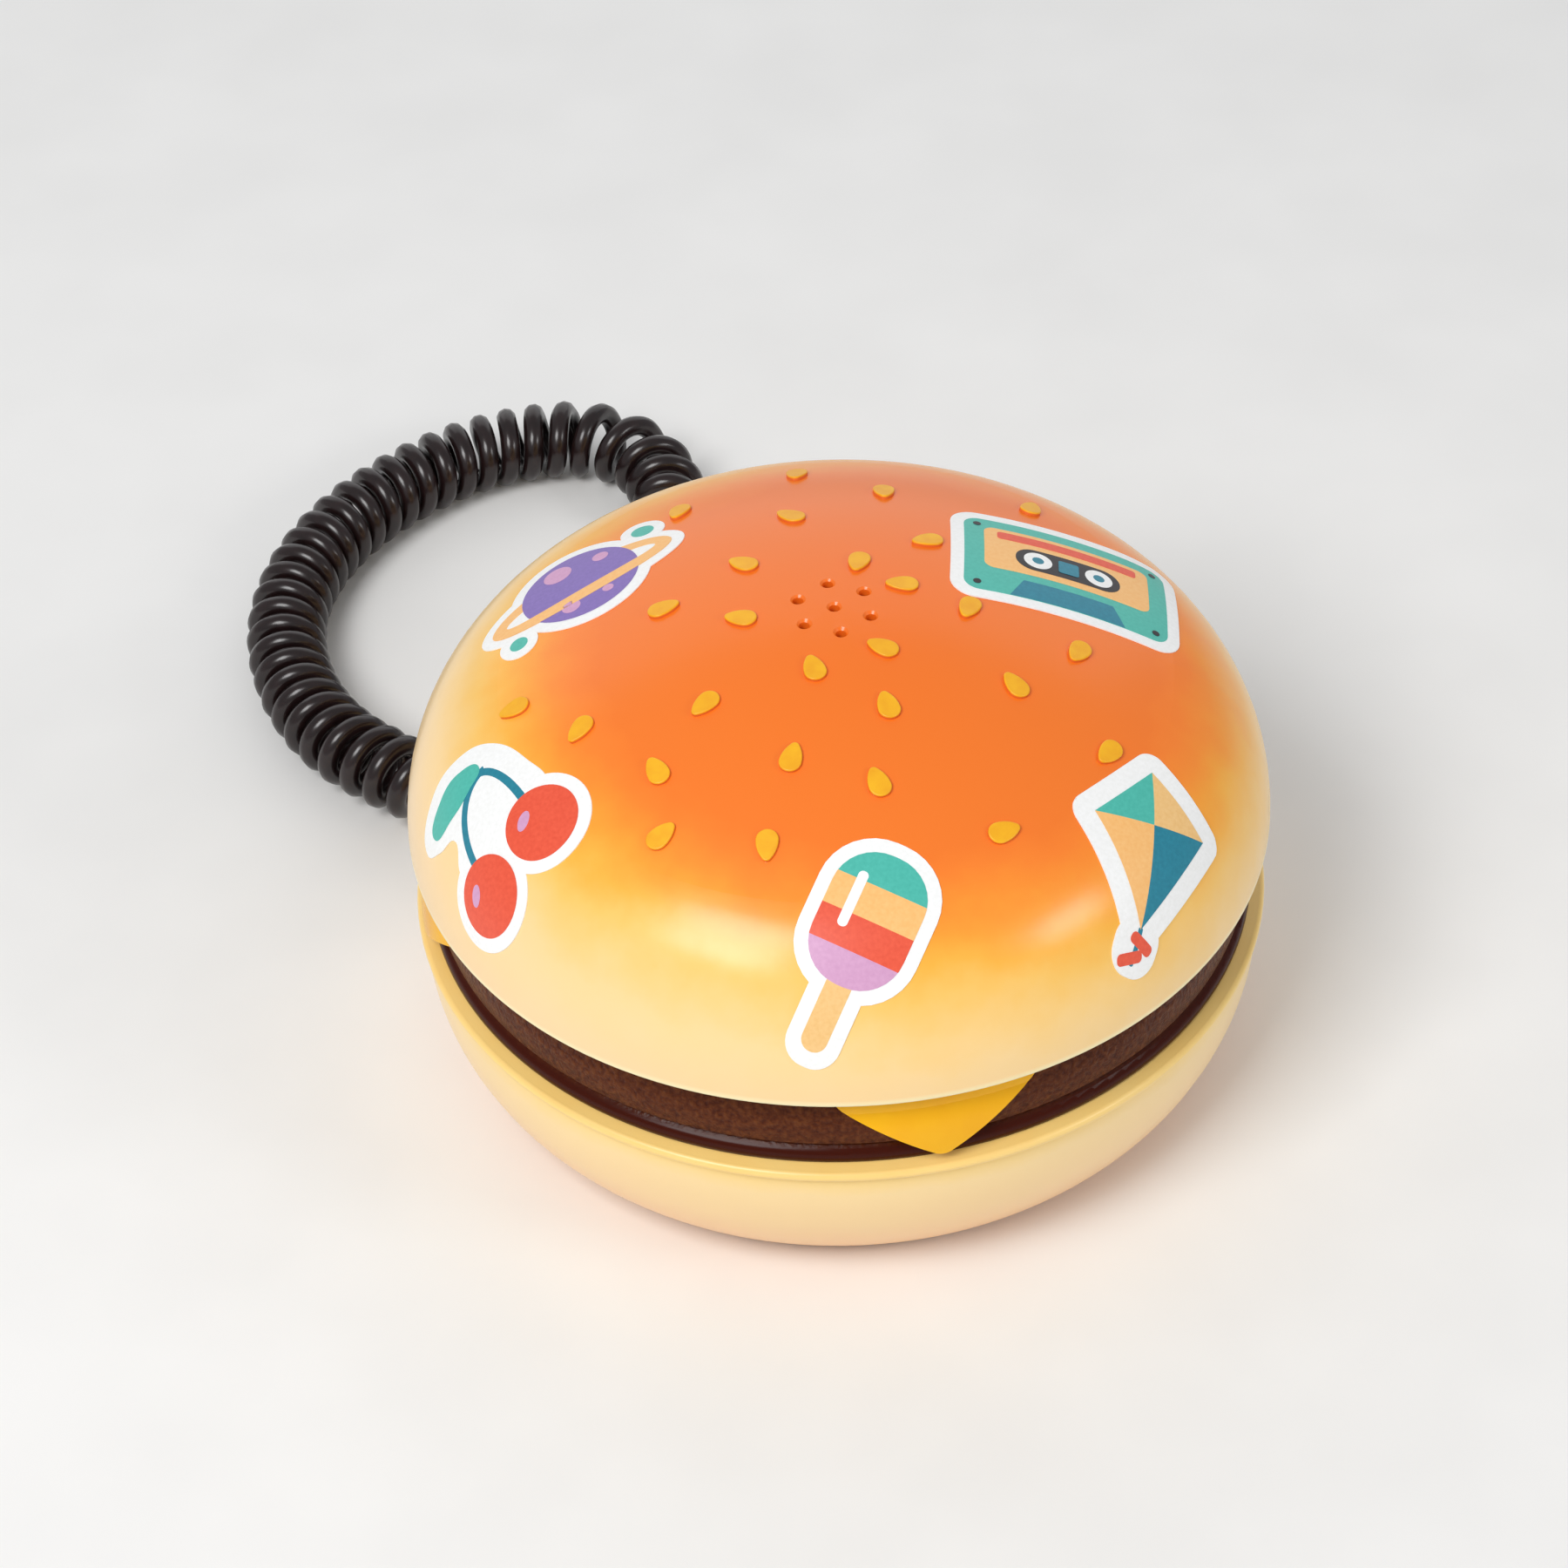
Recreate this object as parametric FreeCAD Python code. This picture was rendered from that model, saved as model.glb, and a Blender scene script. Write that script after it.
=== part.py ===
import FreeCAD
import Part
import math
import os
from FreeCAD import Vector

# Sizes are in millimetres.  The table is z = 0, the front faces -Y and the lid opens towards +Y.

# Top bun, which is the lid
bun_radius = 65.0
bun_rise = 38.0
crown_radius = 106.5
bun_wall = 2.2
lip_height = 0.5
lip_round = 0.6
lid_gap = 1.1

# Sound holes over the ringer
sound_ring = 5.7
sound_bore = 0.8
sound_sink = 1.15
sound_first = 39.0

# Sesame seeds
seed_width = 3.3
seed_tail = 3.0
seed_tip = 0.55
seed_proud = 0.6
seed_root = 1.0
seed_soft = 0.2

# Lower bun
bun_overhang = 1.1
pad_thick = 1.6
pad_recess = 0.6
pad_margin = 1.9
flank_rise = 22.1
flank_tuck = 5.5
neck_rise = 5.2
bead_radius = 0.85
base_wall = 2.4
ledge_width = 1.9

# Patty, which is the deck
patty_rise = 12.6
patty_step = 1.3
patty_bead = 2.5
patty_round = 2.9
groove_depth = 0.7
deck_thick = 2.0
seat_width = 2.0
spigot_depth = 3.8
spigot_wall = 1.8

# Cheese slice
cheese_thick = 1.2
cheese_turn = 12.5
cheese_inset = 4.5
cheese_margin = 3.0
cheese_clear = 3.5
flap_half = 15.4
flap_knee = 12.7
flap_rise = 7.3
flap_lift = 1.6
flap_tip = 1.2
flap_gap = 0.35

# Keypad
key_width = 9.5
key_depth = 7.5
key_round = 2.4
key_proud = 2.2
key_travel = 1.2
key_flange = 0.75
flange_thick = 0.9
column_pitch = 14.0
row_pitch = 11.75
top_row = 20.0
long_key = 13.0
long_pitch = 19.0
mat_sheet = 1.0
mat_dome = 2.6
mat_dome_rise = 0.7
pcb_thick = 1.6
pcb_margin = 5.75
# Parts under the board: two corners and how far they stand off
chips = [(-9, -8, 3, 8, 2.2), (8, 2, 15, 12, 3.0), (-18, 14, -12, 24, 5.0)]

# Hook switch and microphone
plunger_radius = 2.0
plunger_flange = 2.9
plunger_flange_thick = 0.7
plunger_inset = 12.2
hook_width = 12.0
hook_depth = 9.0
mic_radius = 3.0
mic_height = 3.0
boot_wall = 0.8
mic_hole = 0.7

# Slide switches in the rear wall
switch_height = 15.0
switch_bearings = (40.0, 58.0)
slot_travel = 2.0
knob_width = 3.0
knob_height = 2.4
knob_proud = 1.2
switch_width = 12.0
switch_tall = 6.0
switch_deep = 5.0
shelf_thick = 1.8

# Bosses and screws
boss_radius = 4.4
boss_inset = 12.2
post_radius = 3.8
post_low = 19.0
web_thick = 2.0
screw_shank = 1.4
screw_head = 2.8
screw_head_tall = 1.8
screw_bite = 9.0
drive_slot = 0.6
small_shank = 0.85
small_head = 1.7
small_head_tall = 1.1
small_bite = 3.0
pcb_post = 2.6
ballast_half = 25.0
ballast_thick = 4.0

# Lid inner parts
cover_inset = 2.2
cover_thick = 2.0
cover_gap = 0.35
ear_radius = 13.5
ear_height = 7.0
ear_y = -16.0
ear_hole = 1.0
ear_ring = 5.0
gasket_thick = 1.0
gasket_width = 3.0
collar_wall = 1.6
ringer_radius = 14.0
ringer_thick = 6.0
magnet_radius = 8.0
magnet_tall = 5.0
ring_wall = 4.7
retainer_thick = 1.6
lid_boss_inset = 13.5

# Hinge
hinge_back = 2.5
hinge_drop = 6.5
knuckle_radius = 4.0
pin_radius = 1.5
lid_knuckle = 18.0
base_knuckle = 8.0
knuckle_gap = 0.4
arm_thick = 2.1
arm_gap = 0.5
tab_inset = 9.5
tab_thick = 3.0
bracket_drop = 1.8
bracket_tall = 12.5
bracket_cover = 1.0
bracket_chamfer = 3.0

# Line cord
cord_wire = 3.5
curl_out = 13.6
curl_pitch = 4.6
curl_ramp = 8.0
curl_first = 21.0
curl_open = 0.36
bend_back = 28.0
bend_reach = 20.0
bend_share = 0.45
tail_first = 11.0
cord_bearing = 147.3
exit_lift = 0.4
gland_flange = 4.6
gland_bore_gap = 0.1
gland_neck = 3.0
gland_tail = 8.5
lead_free = 2.5
plug_long = 11.7
plug_wide = 9.65
plug_tall = 6.6
latch_wide = 3.2
contact_count = 4
contact_pitch = 1.02
contact_thick = 0.3
contact_long = 3.5
wire_radius = 0.8

# Clearances
slide_gap = 0.3
thread_gap = 0.05
seat_gap = 0.2

# Levels worked out from the sizes above
base_low = pad_thick - pad_recess
floor_top = base_low + base_wall
flank_top = base_low + flank_rise
ledge_top = flank_top + neck_rise
deck_top = ledge_top + patty_rise
deck_low = deck_top - deck_thick
rim = deck_top + lid_gap
crown = rim + bun_rise
cover_low = rim + cover_inset
cover_top = cover_low + cover_thick
flange_top = deck_low - slide_gap
flange_low = flange_top - flange_thick
mat_top = flange_low - key_travel - 0.5 * slide_gap - mat_dome_rise
pcb_top = mat_top - mat_sheet
pcb_low = pcb_top - pcb_thick
hinge_z = rim - hinge_drop
exit_height = floor_top + gland_flange + exit_lift

# Radii and distances from the middle worked out from the sizes above
base_radius = bun_radius - bun_overhang
flank_radius = flank_rise + flank_tuck
flank_x = base_radius - flank_radius
ledge_in = base_radius - ledge_width
patty_out = base_radius - patty_step
spigot_out = ledge_in - seat_width
spigot_in = spigot_out - spigot_wall
patty_top = patty_out - patty_bead - patty_round + 0.3
cheese_half = patty_top - cheese_inset
boss_ring = spigot_in - boss_inset
pad_radius = boss_ring - screw_head - slide_gap - pad_margin
plunger_y = spigot_in - plunger_inset
hinge_y = bun_radius + hinge_back
tab_front = bun_radius - tab_inset
cheese_back = tab_front - cheese_clear
bracket_back = hinge_y + bracket_cover

UP = Vector(0, 0, 1)


def flat(x, z):
    return Vector(x, 0, z)


def polar(radius, degrees, z=0.0):
    a = math.radians(degrees)
    return Vector(radius * math.cos(a), radius * math.sin(a), z)


def on_circle(x, z, radius, degrees):
    a = math.radians(degrees)
    return Vector(x + radius * math.cos(a), 0, z + radius * math.sin(a))


def outline(start, *steps):
    """Closed face from a start point; a step is a point, or a pair of points on an arc."""
    edges = []
    here = start
    for step in steps:
        if isinstance(step, tuple):
            edges.append(Part.Arc(here, step[0], step[1]).toShape())
            here = step[1]
        else:
            edges.append(Part.makeLine(here, step))
            here = step
    if here.distanceToPoint(start) > 1e-6:
        edges.append(Part.makeLine(here, start))
    return Part.Face(Part.Wire(edges))


def turned(face):
    return face.revolve(Vector(0, 0, 0), UP, 360)


def rod(radius, low, high, x=0.0, y=0.0):
    return Part.makeCylinder(radius, high - low, Vector(x, y, low))


def block(x0, x1, y0, y1, z0, z1):
    return Part.makeBox(x1 - x0, y1 - y0, z1 - z0, Vector(x0, y0, z0))


def rounded_block(x, y, width, depth, z0, z1, radius):
    body = block(x - width / 2, x + width / 2, y - depth / 2, y + depth / 2, z0, z1)
    upright = [e for e in body.Edges if abs(e.tangentAt(e.FirstParameter).z) > 0.9]
    return body.makeFillet(radius, upright)


def turn(shape, degrees):
    out = shape.copy()
    out.rotate(Vector(0, 0, 0), UP, degrees)
    return out


def around(shape, degrees_list):
    return [turn(shape, d) for d in degrees_list]


def join(shapes):
    first = shapes[0]
    return first.fuse(shapes[1:]) if len(shapes) > 1 else first


def group(shapes):
    return Part.makeCompound([s for shape in shapes for s in shape.Solids])


def screw(head, tall, shank, bite):
    """A pan-head screw pointing up, with the underside of its head at z = 0."""
    body = rod(head, -tall, 0).fuse(rod(shank, 0, bite))
    rim_edges = [e for e in body.Edges if abs(e.BoundBox.ZMin + tall) < 1e-6
                 and abs(e.BoundBox.ZMax + tall) < 1e-6]
    body = body.makeFillet(tall * 0.45, rim_edges)
    slot = block(-head * 0.6, head * 0.6, -drive_slot / 2, drive_slot / 2, -tall, -tall * 0.5)
    return body.cut([slot, turn(slot, 90)])


def placed(shape, at):
    out = shape.copy()
    out.translate(at)
    return out


def pointed(shape, direction, at):
    """Stand a shape made along +Z along another direction."""
    out = shape.copy()
    out.Placement = FreeCAD.Placement(at, FreeCAD.Rotation(UP, direction))
    return out


# The top bun's outline: a shoulder arc tangent to the crown arc
crown_rise = bun_rise - lip_height
shoulder = ((2 * crown_radius * crown_rise - bun_radius ** 2 - crown_rise ** 2)
            / (2 * (crown_radius - bun_radius)))
shoulder_x = bun_radius - shoulder
shoulder_z = rim + lip_height
crown_z = crown - crown_radius
tangent = math.degrees(math.atan2(shoulder_z - crown_z, shoulder_x))


def dome(inset, low):
    """Everything inside the top bun's skin, moved in by an inset, above a level."""
    s = shoulder - inset
    c = crown_radius - inset
    return turned(outline(
        flat(0, low),
        flat(bun_radius - inset, low),
        flat(bun_radius - inset, shoulder_z),
        (on_circle(shoulder_x, shoulder_z, s, tangent / 2),
         on_circle(shoulder_x, shoulder_z, s, tangent)),
        (on_circle(0, crown_z, c, (tangent + 90) / 2), flat(0, crown - inset))))


def dome_height(r):
    """Height and slope of the top bun's skin at a distance from the axis."""
    if r < crown_radius * math.cos(math.radians(tangent)):
        z = crown_z + math.sqrt(crown_radius ** 2 - r ** 2)
        return z, r / (z - crown_z)
    z = shoulder_z + math.sqrt(shoulder ** 2 - (r - shoulder_x) ** 2)
    return z, (r - shoulder_x) / (z - shoulder_z)


def inner_radius(z):
    return shoulder_x + math.sqrt((shoulder - bun_wall) ** 2 - (z - shoulder_z) ** 2)


lid_corners = [45.0 + 90.0 * i for i in range(4)]
lid_ring = inner_radius(cover_low) - lid_boss_inset
tab_screw_z = cover_top + 2 * small_head
tab_top = tab_screw_z + 1.5 * small_head
ringer_top = dome_height(ringer_radius)[0] - bun_wall - seat_gap
ringer_low = ringer_top - ringer_thick
collar_low = ringer_low - seat_gap
collar_in = ringer_radius + slide_gap
collar_out = collar_in + ring_wall
retainer_ring = (collar_in + collar_out) / 2


def sound_holes():
    z = crown - bun_wall
    hole = rod(sound_bore, z - 2, crown + 1)
    rise = sound_sink - sound_bore
    sink = Part.makeCone(sound_bore, sound_sink + rise, 2 * rise, Vector(0, 0, crown - rise))
    spots = [Vector(0, 0, 0)] + [polar(sound_ring, sound_first + 60 * i) for i in range(6)]
    drop = [crown - dome_height(math.hypot(p.x, p.y))[0] for p in spots]
    return [placed(hole.fuse(sink), Vector(p.x, p.y, -d)) for p, d in zip(spots, drop)]


def hinge_boss():
    half = lid_knuckle / 2
    return block(-half, half, tab_front + tab_thick, bun_radius,
                 rim + lip_height, tab_top)


def tab_screw_spots():
    return [Vector(s * lid_knuckle / 4, tab_front, tab_screw_z) for s in (-1, 1)]


def top_bun():
    skin = dome(0, rim).cut(dome(bun_wall, rim - 1))
    lip = [e for e in skin.Edges if abs(e.BoundBox.ZMax - rim) < 1e-6
           and abs(e.BoundBox.XMax - bun_radius) < 1e-3]
    skin = skin.makeFillet(lip_round, lip)
    inside = dome(bun_wall / 2, rim)
    boss = rod(post_radius, cover_top, crown, lid_ring)
    collar = rod(collar_out, collar_low, crown).cut(rod(collar_in, rim, crown))
    extra = around(boss, lid_corners) + [collar, hinge_boss()]
    body = join([skin] + [s.common(inside) for s in extra])
    pilot = rod(screw_shank + thread_gap, cover_top - 1, cover_top + screw_bite, lid_ring)
    small = rod(small_shank + thread_gap, collar_low - 1, collar_low + small_bite + 0.5,
                retainer_ring)
    tab_pilot = rod(small_shank + thread_gap, 0, tab_thick + small_bite + 0.5)
    tabs = [pointed(tab_pilot, Vector(0, 1, 0), p) for p in tab_screw_spots()]
    thirds = [30.0, 150.0, 270.0]
    return body.cut(sound_holes() + around(pilot, lid_corners) + around(small, thirds) + tabs)


# Distance from the crown, bearing, and the way the point of the seed looks
seed_places = [
    (12, 26, 180), (12, 71, 256), (13, 187, 163), (12, 309, 153), (14, 258, 105),
    (17, 138, 146), (25, 103, 140), (25, 223, 223), (22, 290, 106), (30, 257, 74),
    (30, 331, 127), (34, 280, 110), (35, 77, 270), (36, 354, 241), (38, 228, 112),
    (40, 125, 258), (40, 204, 228), (43, 97, 265), (42, 256, 265), (45, 331, 234),
    (26, 172, 15), (23, 50, 200), (47, 190, 190), (45, 300, 25), (45, 48, 75), (20, 5, 250),
    (46, 236, 40)]


def seed_blank():
    """One seed with a flat top and a blunt point that looks along -X."""
    r = seed_width / 2
    drop = r - seed_tip
    side = (seed_tail ** 2 + drop ** 2) / (2 * drop)
    lean = math.asin(seed_tail / side)
    belly = Vector(-side * math.sin(lean / 2), r - side * (1 - math.cos(lean / 2)), 0)
    nose = Vector(seed_tip * math.tan(lean) - seed_tip / math.cos(lean) - seed_tail, 0, 0)
    shape = outline(
        Vector(-seed_tail, seed_tip, 0), (belly, Vector(0, r, 0)), (Vector(r, 0, 0), Vector(0, -r, 0)),
        (Vector(belly.x, -belly.y, 0), Vector(-seed_tail, -seed_tip, 0)),
        (nose, Vector(-seed_tail, seed_tip, 0)))
    body = placed(shape.extrude(Vector(0, 0, seed_root + seed_proud)), Vector(0, 0, -seed_root))
    crest = [e for e in body.Edges if abs(e.BoundBox.ZMin - seed_proud) < 1e-6]
    return body.makeFillet(seed_soft, crest)


def sesame_seeds():
    blank = seed_blank()
    skin = dome(0, rim)
    seeds = []
    for r, bearing, looks in seed_places:
        z, slope = dome_height(r)
        out = polar(1, bearing)
        normal = Vector(out.x * slope, out.y * slope, 1).normalize()
        tip = polar(1, looks + 180)
        x = (tip - normal * tip.dot(normal)).normalize()
        y = normal.cross(x)
        m = FreeCAD.Matrix(x.x, y.x, normal.x, 0, x.y, y.y, normal.y, 0,
                           x.z, y.z, normal.z, 0, 0, 0, 0, 1)
        seed = blank.copy()
        seed.Placement = FreeCAD.Placement(m)
        seed.translate(polar(r, bearing, z))
        seeds.append(seed.cut(skin))
    return group(seeds)


def ear_holes():
    spots = [Vector(0, ear_y, 0)]
    spots += [polar(ear_ring, 60 * i) + Vector(0, ear_y, 0) for i in range(6)]
    return [rod(ear_hole, cover_low - 1, cover_top + 1, p.x, p.y) for p in spots]


def lid_cover():
    plate = rod(inner_radius(cover_low) - cover_gap, cover_low, cover_top)
    cup_in = ear_radius + slide_gap
    cup_top = cover_top + gasket_thick + ear_height - 1.0
    cup = rod(cup_in + collar_wall, cover_top, cup_top, 0, ear_y)
    cup = cup.cut(rod(cup_in, cover_top, cup_top, 0, ear_y))
    half = lid_knuckle / 2 + slide_gap
    notch = block(-half, half, tab_front - slide_gap, bun_radius, cover_low - 1, cover_top + 1)
    sunk = rod(screw_head + slide_gap, cover_low - 1, cover_low + screw_head_tall * 0.6, lid_ring)
    hole = rod(screw_shank + seat_gap, cover_low - 1, cover_top + 1, lid_ring)
    cuts = ear_holes() + around(sunk, lid_corners) + around(hole, lid_corners) + [notch]
    return plate.fuse(cup).cut(cuts)


def lid_screws():
    tall = screw_head_tall * 0.6
    length = screw_bite + cover_thick - tall - 0.5
    one = placed(screw(screw_head, tall, screw_shank, length),
                 Vector(lid_ring, 0, cover_low + tall))
    return group(around(one, lid_corners))


def earpiece_gasket():
    top = cover_top + gasket_thick
    return rod(ear_radius, cover_top, top, 0, ear_y).cut(
        rod(ear_radius - gasket_width, cover_top, top, 0, ear_y))


def earpiece():
    low = cover_top + gasket_thick
    body = rod(ear_radius, low, low + ear_height * 0.6, 0, ear_y)
    back = rod(ear_radius * 0.6, low, low + ear_height, 0, ear_y)
    return body.fuse(back).cut(rod(ear_radius - gasket_width, low, low + 0.8, 0, ear_y))


def ringer_speaker():
    basket = rod(ringer_radius, ringer_low, ringer_top)
    hollow = Part.makeCone(magnet_radius * 0.6, ringer_radius - 1.2, ringer_thick * 0.6,
                           Vector(0, 0, ringer_top - ringer_thick * 0.6))
    return basket.cut(hollow).fuse(rod(magnet_radius, ringer_low - magnet_tall, ringer_low))


def ringer_retainer():
    ring = rod(collar_out, collar_low - retainer_thick, collar_low)
    ring = ring.cut(rod(magnet_radius + 2.0, collar_low - retainer_thick, collar_low))
    hole = rod(small_shank + seat_gap, collar_low - retainer_thick - 1, collar_low + 1,
               retainer_ring)
    return ring.cut(around(hole, [30.0, 150.0, 270.0]))


def retainer_screws():
    one = placed(screw(small_head, small_head_tall, small_shank, small_bite + retainer_thick),
                 Vector(retainer_ring, 0, collar_low - retainer_thick))
    return group(around(one, [30.0, 150.0, 270.0]))


def lid_hinge_leaf():
    low = rim - arm_thick
    k = knuckle_radius
    face = outline(
        Vector(0, tab_front, low), Vector(0, hinge_y - k, low), Vector(0, hinge_y - k, hinge_z),
        (Vector(0, hinge_y, hinge_z - k), Vector(0, hinge_y + k, hinge_z)),
        Vector(0, hinge_y + 0.6 * k, rim), Vector(0, tab_front + tab_thick, rim),
        Vector(0, tab_front + tab_thick, tab_top), Vector(0, tab_front, tab_top))
    body = placed(face.extrude(Vector(lid_knuckle, 0, 0)), Vector(-lid_knuckle / 2, 0, 0))
    bore = pointed(rod(pin_radius + thread_gap, 0, 2 * lid_knuckle), Vector(1, 0, 0),
                   Vector(-lid_knuckle, hinge_y, hinge_z))
    hole = rod(small_shank + seat_gap, -1, tab_thick + 1)
    holes = [pointed(hole, Vector(0, 1, 0), p) for p in tab_screw_spots()]
    return body.cut([bore] + holes)


def hinge_leaf_screws():
    one = screw(small_head, small_head_tall, small_shank, tab_thick + small_bite)
    return group([pointed(one, Vector(0, 1, 0), p) for p in tab_screw_spots()])


# The lower bun
def flank(inset, low):
    """Everything inside the lower bun's skin, moved in by an inset, from a level to the ledge."""
    r = flank_radius - inset
    start = math.degrees(math.asin((low - flank_top) / r))
    bead_x = base_radius - inset
    bead_z = ledge_top - 1.4 * bead_radius
    return turned(outline(
        flat(0, low), on_circle(flank_x, flank_top, r, start),
        (on_circle(flank_x, flank_top, r, start / 2), flat(base_radius - inset, flank_top)),
        flat(bead_x, bead_z - bead_radius),
        (flat(bead_x + bead_radius, bead_z), flat(bead_x, bead_z + bead_radius)),
        flat(ledge_in - inset, ledge_top), flat(0, ledge_top)))


def flank_at(z, inset=0.0):
    return flank_x + math.sqrt((flank_radius - inset) ** 2 - (z - flank_top) ** 2)


base_corners = [45.0 + 90.0 * i for i in range(4)]
web_low = post_low - web_thick
switch_low = switch_height - switch_tall / 2
switch_front = flank_at(switch_low, base_wall) - 3 * slide_gap
bracket_top = ledge_top - bracket_drop
bracket_low = bracket_top - bracket_tall
bracket_half = lid_knuckle / 2 + knuckle_gap + base_knuckle
bracket_screw_z = (bracket_low + bracket_top) / 2
bracket_screw_x = bracket_half - base_knuckle / 2
pad_front = spigot_in - 1.5 * screw_head


def cavity():
    """The hollow of the lower bun: a bowl under a straight mouth for the patty's spigot."""
    r = flank_radius - base_wall
    mouth = spigot_out + slide_gap
    start = math.degrees(math.asin((floor_top - flank_top) / r))
    shelf_z = ledge_top - spigot_depth - 0.5
    stop = math.degrees(math.asin((shelf_z - 1.5 - flank_top) / r))
    top_point = on_circle(flank_x, flank_top, r, stop)
    return turned(outline(
        flat(0, floor_top), on_circle(flank_x, flank_top, r, start),
        (on_circle(flank_x, flank_top, r, (start + stop) / 2), top_point),
        flat(mouth, shelf_z), flat(mouth, ledge_top + 1), flat(0, ledge_top + 1)))


def bracket_spots():
    return [Vector(s * bracket_screw_x, pad_front, bracket_screw_z) for s in (-1, 1)]


def switch_shelves():
    half = switch_width / 2 + 1
    shelf = block(switch_front - switch_deep - 1, base_radius, -half, half,
                  switch_low - shelf_thick, switch_low)
    return around(shelf, switch_bearings)


def switch_slots():
    half = knob_width / 2 + slot_travel + slide_gap
    tall = knob_height / 2 + slide_gap
    slot = block(flank_at(switch_height) - 2 * base_wall, bun_radius, -half, half,
                 switch_height - tall, switch_height + tall)
    return around(slot, switch_bearings)


def lower_bun():
    hollow = cavity()
    shell = flank(0, base_low).cut(hollow)
    boss = rod(boss_radius, base_low, post_low, boss_ring)
    pads = [block(p.x - 2 * screw_head, p.x + 2 * screw_head, pad_front, base_radius,
                  bracket_screw_z - screw_head - 1, bracket_screw_z + screw_head + 1)
            for p in bracket_spots()]
    inside = flank(base_wall / 2, base_low)
    extra = around(boss, base_corners) + switch_shelves() + pads
    body = join([shell] + [s.common(inside) for s in extra])
    sunk = rod(screw_head + slide_gap, base_low - 1, web_low, boss_ring)
    hole = rod(screw_shank + seat_gap, base_low - 1, post_low + 1, boss_ring)
    recess = rod(pad_radius + seat_gap, base_low - 1, base_low + pad_recess)
    gland = pointed(rod(gland_neck, 0, 3 * base_wall + gland_flange), polar(1, cord_bearing),
                    polar(flank_at(exit_height) - 3 * base_wall, cord_bearing, exit_height))
    bolt = rod(screw_shank + seat_gap, -1, bun_radius)
    bolts = [pointed(bolt, Vector(0, 1, 0), p) for p in bracket_spots()]
    cuts = around(sunk, base_corners) + around(hole, base_corners) + switch_slots()
    return body.cut(cuts + [recess, gland] + bolts)


def base_pad():
    return rod(pad_radius, 0, pad_thick)


def base_screws():
    one = placed(screw(screw_head, screw_head_tall, screw_shank, web_thick + screw_bite),
                 Vector(boss_ring, 0, web_low))
    return group(around(one, base_corners))


def base_hinge_bracket():
    k = knuckle_radius
    ear = outline(
        Vector(0, hinge_y - k, hinge_z),
        (Vector(0, hinge_y, hinge_z + k), Vector(0, hinge_y + k, hinge_z)),
        Vector(0, bracket_back, bracket_top), Vector(0, bracket_back, bracket_low + bracket_chamfer),
        Vector(0, bracket_back - bracket_chamfer, bracket_low), Vector(0, base_radius / 2, bracket_low),
        Vector(0, base_radius / 2, bracket_top), Vector(0, hinge_y - k, bracket_top))
    ear = ear.extrude(Vector(base_knuckle, 0, 0))
    ears = [placed(ear, Vector(x, 0, 0)) for x in (-bracket_half, bracket_half - base_knuckle)]
    bridge = block(-bracket_half, bracket_half, base_radius / 2, bracket_back,
                   bracket_low, bracket_top)
    edge = [e for e in bridge.Edges if abs(e.BoundBox.YMin - bracket_back) < 1e-6
            and abs(e.BoundBox.ZMax - bracket_low) < 1e-6]
    bridge = bridge.makeChamfer(bracket_chamfer, edge)
    body = join([bridge] + ears)
    bore = pointed(rod(pin_radius + thread_gap, 0, 4 * bracket_half), Vector(1, 0, 0),
                   Vector(-2 * bracket_half, hinge_y, hinge_z))
    pilot = rod(screw_shank + thread_gap, 0, bracket_back - 1 - pad_front)
    pilots = [pointed(pilot, Vector(0, 1, 0), p) for p in bracket_spots()]
    return body.cut([flank(-thread_gap, base_low - 0.5), bore] + pilots)


def bracket_screws():
    length = bracket_back - 2 - pad_front
    one = screw(screw_head, screw_head_tall, screw_shank, length)
    return group([pointed(one, Vector(0, 1, 0), p) for p in bracket_spots()])


def hinge_pin():
    half = bracket_half + 0.5
    pin = rod(pin_radius, -half, half)
    ends = [e for e in pin.Edges if e.Closed and len(e.Vertexes) == 1
            and abs(abs(e.CenterOfMass.z) - half) < 1e-6]
    pin = pin.makeFillet(0.4, ends)
    return pointed(pin, Vector(1, 0, 0), Vector(0, hinge_y, hinge_z))


# The patty
groove_z = ledge_top + patty_bead
bead_z = ledge_top + 0.5 * patty_bead
round_low = deck_top - patty_round
belly_x = patty_out - groove_depth - 0.15
belly_z = (groove_z + round_low) / 2


def patty_profile():
    side = patty_out - groove_depth
    neck = patty_top + patty_round
    return outline(
        flat(0, deck_top), flat(patty_top, deck_top),
        (on_circle(patty_top, round_low, patty_round, 45), flat(neck, round_low)),
        (flat(belly_x, belly_z), flat(side, groove_z + 0.8)),
        flat(side - groove_depth, groove_z + 0.3), flat(side, groove_z - 0.2),
        (flat(patty_out, bead_z), flat(patty_out - 0.25, ledge_top)),
        flat(spigot_out, ledge_top), flat(spigot_out, ledge_top - spigot_depth),
        flat(spigot_in, ledge_top - spigot_depth), flat(spigot_in, deck_low - 3.0),
        flat(spigot_in - 2.0, deck_low), flat(0, deck_low))


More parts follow.
